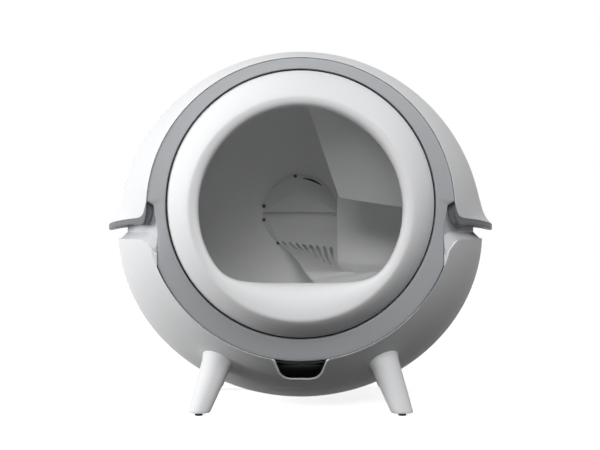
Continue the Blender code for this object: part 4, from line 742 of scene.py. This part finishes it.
def drawerWindow(name, grow):
    # the box in which the casing's surface belongs to the drawer's panel
    half, lap = drawerSizes["halfWidth"] + grow, drawerSizes["windowLap"]
    return boxMesh(name, (-half, frontY - lap, drawerSizes["floorZ"] - grow),
                   (half, drawerSizes["backY"] + grow, rimBottom(half) + lap))


def notchOutline():
    # bowl shape, flared at its upper corners along the panel's rim
    top, out = drawerSizes["notchTop"], drawerSizes["notchOut"]
    half = [(drawerSizes["notchBottom"], drawerSizes["notchFloorZ"], drawerSizes["notchRound"]),
            (top, rimBottom(top), drawerSizes["notchFlare"]),
            (out, rimBottom(out) + drawerSizes["notchLift"], 0.0)]
    left = [(-a, b, r) for a, b, r in reversed(half)]
    return roundedPath(left + half, steps=drawerSizes["notchSteps"], closed=False)


def notchCutter():
    # the notch's outline, closed high above the rim and carried through the panel
    across = np.linspace(drawerSizes["notchOut"], -drawerSizes["notchOut"], drawerSizes["cutterSteps"])
    lid = np.column_stack([across, np.full(len(across), drawerSizes["cutterTopZ"])])
    return prism("notchCutter", np.concatenate([notchOutline(), lid]),
                 (frontY - drawerSizes["cutterFront"], frontY + drawerSizes["cutterBack"]))


def makeNotchBead():
    # a thin round bead along the notch's edge on the panel, in a brighter white than the panel: painted
    # highlight of the lit edge
    path = notchOutline()
    path = path[path[:, 1] < rimBottom(path[:, 0]) + drawerSizes["beadLap"]]
    points = np.column_stack([path[:, 0], middleY + frontDepthAt(path[:, 0], path[:, 1]), path[:, 1]])
    along = np.gradient(points, axis=0)
    along /= np.linalg.norm(along, axis=1, keepdims=True)
    side = np.cross(along, (0, -1, 0))
    side /= np.linalg.norm(side, axis=1, keepdims=True)
    front = np.cross(side, along)
    turn = fullTurn(drawerSizes["beadSides"])[None, :, None]
    out = np.cos(turn) * side[:, None] + np.sin(turn) * front[:, None]
    bead = loopTube("notchBead", points[:, None] + drawerSizes["beadRadius"] * out)
    finishPiece(bead, "drawer", "white_plastic", "highlightWhite")


def tubLoop(z, inset):
    # a rounded rectangle whose front edge moves forwards with height, as the casing does
    rise = (z - tubSizes["lowZ"]) / (tubSizes["highZ"] - tubSizes["lowZ"])
    front = tubSizes["frontY"] - tubSizes["frontGrow"] * rise + inset
    side, back = tubSizes["halfWidth"] - inset, tubSizes["backY"] - inset
    corners = [(-side, front, tubSizes["frontRound"]), (side, front, tubSizes["frontRound"]),
               (side, back, tubSizes["backRound"]), (-side, back, tubSizes["backRound"])]
    return levelLoop(roundedPath(corners, tubSizes["steps"]), z)


def makeDrawer():
    # the casing's surface inside the window is the panel, less its notch; an open tub stands behind it
    panel = lowerShellMesh("drawerPanel")
    cutWith(panel, [notchCutter()])
    cutWith(panel, [drawerWindow("window", 0)], "INTERSECT")
    finishPiece(panel, "drawer", "white_plastic", "whiteGloss", "waste_drawer")
    makeNotchBead()
    low, high, wall = (tubSizes[key] for key in ("lowZ", "highZ", "wall"))
    drop, edge, corner = (tubSizes[key] for key in ("rimDrop", "rimRound", "innerRound"))
    rows = [(low + lift, inset) for lift, inset in tubSizes["footRows"]]
    rows += [(high - drop, 0.0), (high, edge), (high, wall - edge), (high - drop, wall),
             (low + wall + corner, wall), (low + wall, wall + corner)]
    tub = loopTube("drawerTub", [tubLoop(*row) for row in rows])
    # black, so that the inside of the drawer looks dark through the notch: painted shade
    finishPiece(tub, "drawer", "dark_plastic", "darkPlastic")


makeHood()
makeTrim()
makeNeck()
makeLowerShell()
makeDrawer()
makeRing()
makeSeal()
print("casing made")


# globe
globe = {
    "radius": 0.228, "wall": 0.003, "widest": -0.020, "frontAxis": 0.3098, "backAxis": 0.197, "joint": -0.186,
    "jointGap": 0.0003, "backDepth": 0.1651, "flangeRadius": 0.1959, "seatRadius": 0.1957,
    "seatLength": 0.004, "collarDepth": -0.172, "collarRadius": 0.2043, "outerStart": -0.158,
    "outerRows": 40, "innerRows": 44,
    "shaftRadius": 0.008, "portAngle": 28, "portLow": (-0.100, -0.05), "portHigh": (0.045, 0.05),
    "portRound": 0.012, "portReach": (0.15, 0.24), "portSteps": 6, "steps": 240,
}


def globeRadius(depth, wall=0.0):
    # two half ellipses in depth, one before and one behind the widest place
    axis = np.where(depth < globe["widest"], globe["frontAxis"], globe["backAxis"]) - wall
    return (globe["radius"] - wall) * np.sqrt(np.maximum(0, 1 - ((depth - globe["widest"]) / axis) ** 2))


def wallCurve(wall, start, end, rows):
    # equal turns of the back ellipse, so that the points stay even where the wall turns in
    front = np.linspace(start, globe["widest"], rows // 2)
    last = math.asin((end - globe["widest"]) / (globe["backAxis"] - wall))
    back = globe["widest"] + (globe["backAxis"] - wall) * np.sin(np.linspace(0, last, rows)[1:])
    depth = np.concatenate([front, back])
    return np.column_stack([globeRadius(depth, wall), depth])


def makeGlobe():
    # the wall's profile carried round the axis, with the waste port cut through its side
    joint, back = globe["joint"] + globe["jointGap"], globe["backDepth"]
    seat, collar = globe["seatRadius"], globe["collarDepth"]
    front = np.array([(seat, joint), (seat, joint + globe["seatLength"]),
                      (globeRadius(np.array(collar)), collar), (globe["collarRadius"], collar)])
    outer = wallCurve(0, globe["outerStart"], back, globe["outerRows"])
    middle = np.array([(globe["shaftRadius"], back), (globe["shaftRadius"], back - globe["wall"])])
    inner = wallCurve(globe["wall"], joint, back - globe["wall"], globe["innerRows"])[::-1]
    profile = np.concatenate([front, outer, middle, inner]) + (0, middleY)
    shell = turnedPiece("globeWall", profile, 0, axisZ, globe["steps"])
    turn = math.radians(globe["portAngle"])
    out, up = np.array([math.cos(turn), 0, math.sin(turn)]), np.array([-math.sin(turn), 0, math.cos(turn)])
    outline = roundedBox(globe["portLow"], globe["portHigh"], globe["portRound"], globe["portSteps"])
    base = np.array([0, 0, axisZ]) + outline[:, :1] * np.array([0, 1, 0]) + outline[:, 1:] * up
    cutWith(shell, [loopTube("port", [base + out * reach for reach in globe["portReach"]])])
    finishPiece(shell, "globe", "inner_grey_plastic", "liningGrey", "globe_shell", "globe_shell_front")


lip = {
    "edgeDepth": -0.199, "ridgeDepth": -0.240, "ridgeRadius": 0.1615, "ridgeZ": 0.3068, "mouthRadius": 0.148,
    "mouthZ": 0.3063, "sillDrop": 0.1084, "sillPower": 12, "leastSine": 1e-3, "frontPower": 1.28,
    "rollPower": 2.4, "rollSlope": 0.85, "wall": 0.003, "innerGap": 1.25, "throat": 0.008, "seatInset": 0.006,
    "seatShare": 0.1, "seatDepth": 0.004, "frontRows": 22, "rollRows": 24, "innerRoll": (0.2, 0.8, 6),
    "innerFront": (0.85, 0.25, 6), "steps": 480,
}


def makeLip():
    # from the gap the front swells to a ridge circle, then rolls into the mouth: a circle with a flat sill
    angle = fullTurn(lip["steps"])[:, None]
    cosine, sine = np.cos(angle), np.sin(angle)
    sill = lip["sillDrop"] / np.maximum(lip["leastSine"], -sine)
    power, width = lip["sillPower"], lip["mouthRadius"]
    mouth = np.where(sine < 0, (width ** -power + sill ** -power) ** (-1 / power), width)

    def ringAt(radius, z):
        # radii round a centre at a height, as (x, z)
        return np.stack([radius * cosine, z + radius * sine], axis=-1)

    def row(first, second, share, depth):
        # points at a share of the way between two rings, at a depth
        spot = mix(first, second, share)
        y = np.broadcast_to(np.reshape(depth, (-1, 1)) + middleY, spot[..., 0].shape)
        return np.stack([spot[..., 0], y, spot[..., 1]], axis=-1)

    edge = ringAt(np.full_like(angle, globe["flangeRadius"]), axisZ)
    ridge = ringAt(np.full_like(angle, lip["ridgeRadius"]), lip["ridgeZ"])
    inside = ringAt(mouth, lip["mouthZ"])
    behind = ringAt(mouth + lip["wall"], lip["mouthZ"])
    seat = ringAt(np.full_like(angle, globe["flangeRadius"] - lip["seatInset"]), axisZ)
    roll = lip["rollSlope"] * np.linalg.norm(ridge - inside, axis=-1)
    rise = lip["edgeDepth"] - lip["ridgeDepth"]
    throat = np.minimum(lip["ridgeDepth"] + roll + lip["throat"], globe["joint"])
    gap = lip["wall"] * lip["innerGap"]

    def swell(share):
        # depth of the front at a share of the way from the gap to the ridge
        return lip["edgeDepth"] - rise * (1 - (1 - share) ** lip["frontPower"]) ** (1 / lip["frontPower"])

    def rolled(share):
        # depth at a share of the way from the ridge into the mouth
        return lip["ridgeDepth"] + roll * (1 - (1 - share ** lip["rollPower"]) ** (1 / lip["rollPower"]))

    rows = [row(edge, edge, 0, globe["joint"])]
    rows += [row(edge, ridge, share, swell(share))
             for share in 1 - np.cos(np.linspace(0, math.pi / 2, lip["frontRows"]))]
    rows += [row(ridge, inside, share, rolled(share))
             for share in np.sin(np.linspace(0, math.pi / 2, lip["rollRows"]))[1:]]
    rows += [row(inside, inside, 0, (lip["ridgeDepth"] + roll + throat) / 2), row(inside, inside, 0, throat),
             row(behind, behind, 0, throat)]
    rows += [row(behind, ridge, share, rolled(1 - share) + gap) for share in np.linspace(*lip["innerRoll"])]
    rows += [row(edge, ridge, share, swell(share) + gap) for share in np.linspace(*lip["innerFront"])]
    rows += [row(seat, ridge, lip["seatShare"], globe["joint"] - lip["seatDepth"]),
             row(seat, seat, 0, globe["joint"])]
    piece = closedGrid("entryLip", np.concatenate(rows, axis=1), meshing["roundAngle"])
    finishPiece(piece, "globe", "white_plastic", "whiteGloss", "globe_front")


hub = {
    "radius": 0.0643, "centreZ": 0.3042, "frontY": 0.1428, "thickness": 0.004, "seam": 0.0012, "steps": 90,
    "edge": ((0.985, 0.0), (0.995, 0.0003), (1.0, 0.0009)),  # size, y behind the front face
    "slot": (50.0, 88.5), "slotRadius": 0.0598, "slotWidth": 0.0037, "slotTip": 0.12, "slotSteps": 24,
    "slotCut": 0.004, "shadeFront": 0.0022, "shadeBack": 0.0004, "shadeSize": 0.985,
    "screws": (98.0, 169.5, 190.6, 233.4), "screwGap": 0.0003, "screwSteps": 32,
    # radius and y round the screw's section
    "screw": ((0, -0.0007), (0.0009, -0.0007), (0.0011, -0.0018), (0.0022, -0.0017), (0.0029, -0.0010),
              (0.0030, 0), (0.0015, 0), (0.0015, 0.006), (0, 0.0062)),
}


def hubPlate(name, start, end):
    # part of a disc between two angles, its front edge rounded
    turn = np.linspace(start, end, hub["steps"])
    outline = np.column_stack([hub["radius"] * np.cos(turn), hub["centreZ"] + hub["radius"] * np.sin(turn)])
    loop = frontLoop(outline, 0.0)
    centre = np.array([0, 0, loop[:, 2].mean()])
    return loopTube(name, [mix(centre, loop, size) + (0, hub["frontY"] + back, 0)
                           for size, back in hub["edge"] + ((1.0, hub["thickness"]),)])


def slotOutline():
    # an arc that swells as half a sine wave between its two tips
    arc = np.linspace(*np.radians(hub["slot"]), hub["slotSteps"])
    swell = np.sin(np.linspace(0, math.pi, hub["slotSteps"]))
    half = hub["slotWidth"] * (hub["slotTip"] + (1 - hub["slotTip"]) * swell)[:, None] / 2
    out = np.column_stack([np.cos(arc), np.sin(arc)])
    outline = np.concatenate([out * (hub["slotRadius"] + half), out[::-1] * (hub["slotRadius"] - half)])
    return outline + (0, hub["centreZ"])


def makeHub():
    # two half discs, the slot in the upper one with a black piece in its back as painted shade, and four
    # screws on their edge
    low, high = hub["frontY"], hub["frontY"] + hub["thickness"]
    lean = math.asin(hub["seam"] / 2 / hub["radius"])
    upper, slot = hubPlate("hubPlateUpper", lean, math.pi - lean), slotOutline()
    cutWith(upper, [prism("slot", slot, (low - hub["slotCut"], high + hub["slotCut"]))])
    # a black piece in the back of the slot: painted shade for the dark space behind it
    shade = prism("slotPaintedShade", mix(slot.mean(axis=0), slot, hub["shadeSize"]),
                  (low + hub["shadeFront"], high - hub["shadeBack"]))
    finishPiece(shade, "globe", "dark_plastic", "rubber")
    finishPiece(upper, "globe", "inner_grey_plastic", "hubGrey", "hub_plate_upper")
    lower = hubPlate("hubPlateLower", math.pi + lean, 2 * math.pi - lean)
    finishPiece(lower, "globe", "inner_grey_plastic", "hubGrey", "hub_plate_lower")
    profile = np.array(hub["screw"]) + (0, hub["frontY"] - hub["screwGap"])
    for number, angle in enumerate(hub["screws"], 1):
        spot = math.radians(angle)
        x, z = hub["radius"] * math.cos(spot), hub["centreZ"] + hub["radius"] * math.sin(spot)
        screw = turnedPiece(f"hubScrew{number}", profile, x, z, hub["screwSteps"])
        finishPiece(screw, "globe", "steel", "darkPlastic", f"hub_screw_{number}")


scoop = {
    # rows from the hub forwards: x, depth and height of the left edge, the fold and the bowl's right edge
    "left": ((-0.0596, 0.1560, 0.2988), (-0.0500, 0.1530, 0.2781), (-0.0387, 0.1450, 0.2558),
             (-0.0265, 0.1300, 0.2475), (-0.0160, 0.1000, 0.2378), (-0.0030, 0.0500, 0.2228),
             (0.0078, 0.0120, 0.2078), (0.0199, 0.0000, 0.1944), (0.0313, -0.0080, 0.1885),
             (0.0345, -0.0120, 0.1790)),
    "fold": ((0.0622, 0.1560, 0.2988), (0.0624, 0.1450, 0.2713), (0.0619, 0.1150, 0.2443),
             (0.0620, 0.1000, 0.2328), (0.0616, 0.0800, 0.2220), (0.0648, 0.0400, 0.2144),
             (0.0722, 0.0000, 0.2095), (0.0891, -0.0080, 0.2067), (0.1256, -0.0160, 0.2070),
             (0.1349, -0.0180, 0.1907)),
    "bowl": ((0.1838, 0.0900, 0.3000), (0.1912, 0.0750, 0.2750), (0.2002, 0.0500, 0.2550),
             (0.2042, 0.0300, 0.2430), (0.2065, 0.0200, 0.2350), (0.2070, 0.0050, 0.2290),
             (0.2070, -0.0050, 0.2270), (0.2060, -0.0150, 0.2260), (0.2050, -0.0220, 0.2250),
             (0.2040, -0.0260, 0.2240)),
    "foldTop": (0.0639, 0.1560, 0.3472), "bowlTop": (0.1727, 0.1000, 0.3472), "sag": 0.016, "wall": 0.0036,
    "wallGap": 0.0012, "rows": 150, "bowlColumns": 49, "edgeMark": 0.02,
    "slots": 8, "slotFirst": 0.085, "slotPitch": 0.117, "slotHalf": 0.033, "slotStart": 2.0,
    "slotEnds": (2.5, 3.3, 3.7, 4.0, 4.3, 4.6, 4.8, 4.9), "tipShare": 0.45, "tipLength": 0.08,
}


def spline(points, count):
    # smooth curve through the points, evenly spaced in their numbering
    points = np.array(points, float)
    padded = np.concatenate([2 * points[:1] - points[1:2], points, 2 * points[-1:] - points[-2:-1]])
    t = np.linspace(0, len(points) - 1, count)
    number = np.minimum(t.astype(int), len(points) - 2)
    local = (t - number)[:, None]
    a, b, c, d = (padded[number + shift] for shift in range(4))
    return 0.5 * (2 * b + (c - a) * local + (2 * a - 5 * b + 4 * c - d) * local ** 2
                  + (3 * b - a - 3 * c + d) * local ** 3)


def inGlobe(points):
    # points pulled towards the axis where they would reach the globe's wall, their depths made world Y
    limit = globeRadius(points[..., 1], globe["wall"] + scoop["wallGap"])
    radius = np.hypot(points[..., 0], points[..., 2] - axisZ)
    scale = np.minimum(1, limit / np.maximum(radius, meshing["least"]))
    z = axisZ + (points[..., 2] - axisZ) * scale
    return np.stack([points[..., 0] * scale, points[..., 1] + middleY, z], axis=-1)


def piercedSheet(name, top, low, solid):
    # two grids with walls round the border and round every quad that is left out
    rows, columns = top.shape[:2]
    faces = quadGrid(rows, columns).reshape(rows - 1, columns - 1, 4)
    count = rows * columns
    padded = np.pad(solid, 1)
    walls = []
    for shiftRow, shiftColumn, a, b in ((-1, 0, 0, 1), (1, 0, 2, 3), (0, -1, 3, 0), (0, 1, 1, 2)):
        neighbour = padded[1 + shiftRow:rows + shiftRow, 1 + shiftColumn:columns + shiftColumn]
        edges = faces[solid & ~neighbour]
        walls.append(np.stack([edges[:, a], edges[:, b], edges[:, b] + count, edges[:, a] + count], axis=1))
    kept = faces[solid]
    quads = np.concatenate([kept, kept[:, ::-1] + count] + walls)
    return meshFrom(name, np.concatenate([top.reshape(-1, 3), low.reshape(-1, 3)]), quads)


def slotGrid(rows):
    # places across the sieve at which its columns stand, and which quads are holes: eight slots with tips
    pitch, half = scoop["slotPitch"], scoop["slotHalf"]
    centres = scoop["slotFirst"] + pitch * np.arange(scoop["slots"])
    sides = [centres + half * side for side in (-1, -scoop["tipShare"], scoop["tipShare"], 1)]
    between = np.sort(np.concatenate(sides + [centres[:-1] + pitch / 2]))
    marks = np.concatenate([[0.0, scoop["edgeMark"]], between, [1.0]])
    middle = (marks[:-1] + marks[1:]) / 2
    number = np.clip(np.round((middle - scoop["slotFirst"]) / pitch), 0, scoop["slots"] - 1).astype(int)
    away = np.abs(middle - centres[number])
    place = (np.arange(rows - 1) + 0.5)[:, None] * (len(scoop["left"]) - 1) / (rows - 1)
    tip = np.where(away > half * scoop["tipShare"], scoop["tipLength"], 0.0)
    along = (place > scoop["slotStart"] + tip) & (place < np.array(scoop["slotEnds"])[number] - tip)
    return marks, (away < half) & along


def makeScoop():
    # sieve: straight rows between the left edge and the fold; bowl: rows from there that sag to the wall
    rows = scoop["rows"] + 1
    turn = (np.linspace(0, 1, rows) * math.pi / 2)[:, None, None]
    down = np.concatenate([0 * turn, np.cos(turn), -np.sin(turn)], axis=-1)
    under = scoop["wall"] * down
    left, fold = spline(scoop["left"], rows)[:, None], spline(scoop["fold"], rows)[:, None]
    marks, hole = slotGrid(rows)
    sheet = mix(left, fold, marks[None, :, None])
    sieve = piercedSheet("sieveScoop", inGlobe(sheet), inGlobe(sheet + under), ~hole)
    right = spline((scoop["bowlTop"],) + scoop["bowl"], rows)[:, None]
    start = (spline((scoop["foldTop"],) + scoop["fold"], rows) + (scoop["wallGap"] / 2, 0, 0))[:, None]
    span = np.linspace(0, 1, scoop["bowlColumns"])[None, :, None]
    upper = mix(start, right, span) + scoop["sag"] * 4 * span * (1 - span) * down
    bowl = walledSheet("scoopBowl", inGlobe(upper), inGlobe(upper + under))
    # the bowl lighter than the lining: painted light
    finishPiece(bowl, "globe", "inner_grey_plastic", "bowlPaintedLightGrey")
    # the sieve darker than the lining: painted shade
    finishPiece(sieve, "globe", "inner_grey_plastic", "sievePaintedShadeGrey", "waste_scoop")


roof = {
    "tip": (0.0621, -0.015, 0.3275), "topRun": (-0.0686, -0.150, 0.1856),
    "sideRun": (0.1386, -0.140, -0.0245), "wall": 0.0025, "frontGap": 0.001, "fanSteps": 49, "rows": 30,
}


def makeRoof():
    # a flat fan: straight lines from its tip to where they meet the ellipsoid of the globe's wall
    tip, top, side = (np.array(roof[key], float) for key in ("tip", "topRun", "sideRun"))
    normal = np.cross(top, side)
    normal *= math.copysign(1, normal[1]) / np.linalg.norm(normal)
    turn = np.linspace(0, 1, roof["fanSteps"])[:, None]
    heading = top / np.linalg.norm(top) * (1 - turn) + side / np.linalg.norm(side) * turn
    heading /= np.linalg.norm(heading, axis=1, keepdims=True)
    axes = np.array([globe["radius"], globe["frontAxis"], globe["radius"]]) - globe["wall"] - scoop["wallGap"]
    centre = np.array([0, middleY + globe["widest"], axisZ])
    front = middleY + globe["joint"] + roof["frontGap"]
    along = np.linspace(0, 1, roof["rows"])[None, :, None]
    sheets = []
    for lift in (0.0, roof["wall"]):
        start = tip + normal * lift
        a = ((heading / axes) ** 2).sum(axis=1)
        b = (2 * heading * (start - centre) / axes ** 2).sum(axis=1)
        c = (((start - centre) / axes) ** 2).sum() - 1
        reach = (-b + np.sqrt(b * b - 4 * a * c)) / (2 * a)
        reach = np.minimum(reach, (front - start[1]) / heading[:, 1])
        sheets.append(start + heading[:, None, :] * reach[:, None, None] * along)
    # lighter than the lining: painted light
    finishPiece(walledSheet("scoopRoof", *sheets), "globe", "inner_grey_plastic", "roofPaintedLightGrey", "scoop_roof")


makeGlobe()
makeLip()
makeHub()
makeScoop()
makeRoof()
print("globe made")


# legs
legSizes = {
    "topX": 0.1205, "topZ": 0.090, "topFront": -0.143, "topBack": 0.132, "splay": 0.0308, "footFront": -0.170,
    "footBack": 0.150, "footRadius": 0.0167, "topRadius": 0.0248, "flare": 0.0016, "flareFade": 0.004,
    "underSkin": 0.0024, "steps": 96, "plainRows": (0.05, 1.35, 60),
    "footRows": ((0, 0.0022), (0.004, 0.0007), (0.02, 0.0)),  # share of the height, what the edge loses
    "padHeight": 0.0042, "padGap": 0.0003,
    # radius and height round the pad's section
    "pad": ((0.0, 0.0), (0.0048, 0.0), (0.0056, 0.0004), (0.006, 0.0012), (0.006, 0.0042), (0.0, 0.0042)),
}


def bodyDistance(points):
    # rough distance outwards from the casing's lower surface
    depth = points[..., 1] - middleY
    width, height, centre = sectionAt(np.minimum(depth, 0), casing["lowerHeight"])
    back = np.maximum(depth, 0) / casing["backDepth"]
    radius = np.sqrt((points[..., 0] / width) ** 2 + ((points[..., 2] - centre) / height) ** 2 + back ** 2)
    return (radius - 1) * height


def legPoints(foot, top):
    # circles from foot to top, wider near the body; what would pass its wall stays just under the skin
    plain = np.linspace(*legSizes["plainRows"])
    share, loss = np.concatenate([legSizes["footRows"], np.column_stack([plain, 0 * plain])]).T[:, :, None]
    radius = mix(legSizes["footRadius"], legSizes["topRadius"], share) - loss
    out = levelLoop(circleOutline(0, 0, 1, legSizes["steps"]), 0.0)
    straight = mix(foot, top, share)[:, None, :] + out * radius[..., None]
    outside = np.maximum(0, bodyDistance(straight))
    points = straight + out * (legSizes["flare"] * np.exp(-outside / legSizes["flareFade"]))[..., None]
    inside = bodyDistance(points) < -legSizes["underSkin"]
    last = np.where(inside.any(axis=0), np.maximum(1, np.argmax(inside, axis=0)), len(share) - 1)
    rows = np.minimum(np.arange(len(share))[:, None], last[None, :])
    return np.take_along_axis(points, rows[..., None], axis=0)


def makeLegs():
    # four splayed legs, each with a pad under it
    for word, footKey, topKey in (("front", "footFront", "topFront"), ("rear", "footBack", "topBack")):
        for side, sideWord in ((-1, "left"), (1, "right")):
            place = word.title() + sideWord.title()
            foot = np.array([side * (legSizes["topX"] + legSizes["splay"]), middleY + legSizes[footKey],
                             legSizes["padHeight"] + legSizes["padGap"]])
            top = np.array([side * legSizes["topX"], middleY + legSizes[topKey], legSizes["topZ"]])
            leg = loopTube("leg" + place, legPoints(foot, top))
            finishPiece(leg, "base", "white_plastic", "whiteGloss", f"leg_{word}_{sideWord}")
            pad = loopTube("pad" + place, [levelLoop(circleOutline(*foot[:2], radius, legSizes["steps"]), z)
                                           for radius, z in legSizes["pad"]])
            finishPiece(pad, "base", "black_rubber", "rubber", f"foot_pad_{word}_{sideWord}")


makeLegs()
print("legs made")


# floor, light and camera
studio = {
    "floorSize": 12.0, "floorBounce": 0.06, "floorWhite": 0.8, "floorRough": 0.85, "floorRoughSpread": 0.1,
    "floorGlow": 0.86, "glowNear": 0.55, "glowFar": 1.1, "cloudScale": 3.0, "world": 0.0,
    "lampSize": 1.2, "lampAim": (0.0, -0.05, 0.30),
    "lamps": (
        # name, place, watts
        ("left wall", (-2.7, -0.3, 0.7), 61.0),
        ("top front", (0.0, -1.6, 2.4), 10.6),
        ("mouth", (-0.3, -2.6, 1.6), 35.0),
        ("front fill", (0.2, -3.3, 0.45), 2.5),
        ("right fill", (1.6, -1.9, 2.0), 25.0),
    ),
    "cameraX": -0.0008, "cameraDistance": 2.2, "cameraZ": 0.2833, "lens": 81.9, "sensor": 36,
    "clip": (0.05, 50),
}


def makeFloor():
    # a flat square: seen directly it is white apart from the object's shadow, and it throws little light back
    size = studio["floorSize"] / 2
    mesh = bpy.data.meshes.new("floor")
    corners = [(-size, -size, 0.0), (size, -size, 0.0), (size, size, 0.0), (-size, size, 0.0)]
    mesh.from_pydata(corners, [], [(0, 1, 2, 3)])
    floor = bpy.data.objects.new("floor", mesh)
    bpy.context.scene.collection.objects.link(floor)
    made = Finish("pale floor")
    seen = made.seen()
    reach = made.node("ShaderNodeVectorMath", {"operation": "LENGTH"}, {0: made.place()}, output="Value")
    away = made.node("ShaderNodeMapRange", {}, {"Value": reach, "From Min": studio["glowNear"],
                                                "From Max": studio["glowFar"]})
    shade = made.blend(seen, [studio["floorBounce"]] * 3, [studio["floorWhite"]] * 3)
    rough = studio["floorRough"] + made.noise(studio["cloudScale"]) * studio["floorRoughSpread"]
    glow = seen * (away * (1 - studio["floorGlow"]) + studio["floorGlow"])
    made.set({"Base Color": shade, "Roughness": rough, "Specular IOR Level": 0.0,
              "Emission Color": glow, "Emission Strength": 1.0})
    mesh.materials.append(made.material)


def makeWorld():
    # white where it is seen; the light that it gives the object is the dictionary's
    world = bpy.data.worlds.new("studio")
    bpy.context.scene.world = world
    world.use_nodes = True
    world.node_tree.nodes.clear()
    made = Nodes(world.node_tree)
    plain, white = (made.node("ShaderNodeBackground", {}, {"Color": (1, 1, 1, 1), "Strength": strength})
                    for strength in (studio["world"], 1.0))
    mixed = made.node("ShaderNodeMixShader", {}, {0: made.seen(), 1: plain, 2: white})
    made.feed(made.tree.nodes.new("ShaderNodeOutputWorld").inputs["Surface"], mixed)


def aimed(item, place, target):
    # puts a lamp or camera at a place, turned about Z and tilted towards its target
    direction = np.array(target, float) - np.array(place, float)
    yaw = math.atan2(direction[0], direction[1])
    pitch = math.atan2(direction[2], math.hypot(direction[0], direction[1]))
    item.location = place
    item.rotation_euler = (math.pi / 2 + pitch, 0, -yaw)
    bpy.context.scene.collection.objects.link(item)
    return item


def makeLights():
    # soft square lamps
    for name, place, watts in studio["lamps"]:
        lamp = bpy.data.lights.new(name, "AREA")
        lamp.shape = "SQUARE"
        lamp.size = studio["lampSize"]
        lamp.energy = watts
        aimed(bpy.data.objects.new(name, lamp), place, studio["lampAim"])


def makeCamera():
    # level, straight in front
    lens = bpy.data.cameras.new("camera")
    lens.lens = studio["lens"]
    lens.sensor_width = studio["sensor"]
    lens.clip_start, lens.clip_end = studio["clip"]
    place = (studio["cameraX"], middleY - studio["cameraDistance"], studio["cameraZ"])
    camera = aimed(bpy.data.objects.new("camera", lens), place, (place[0], 0, place[2]))
    bpy.context.scene.camera = camera


makeFloor()
makeWorld()
makeLights()
makeCamera()
bpy.context.scene.view_settings.view_transform = "Standard"
print("studio made")
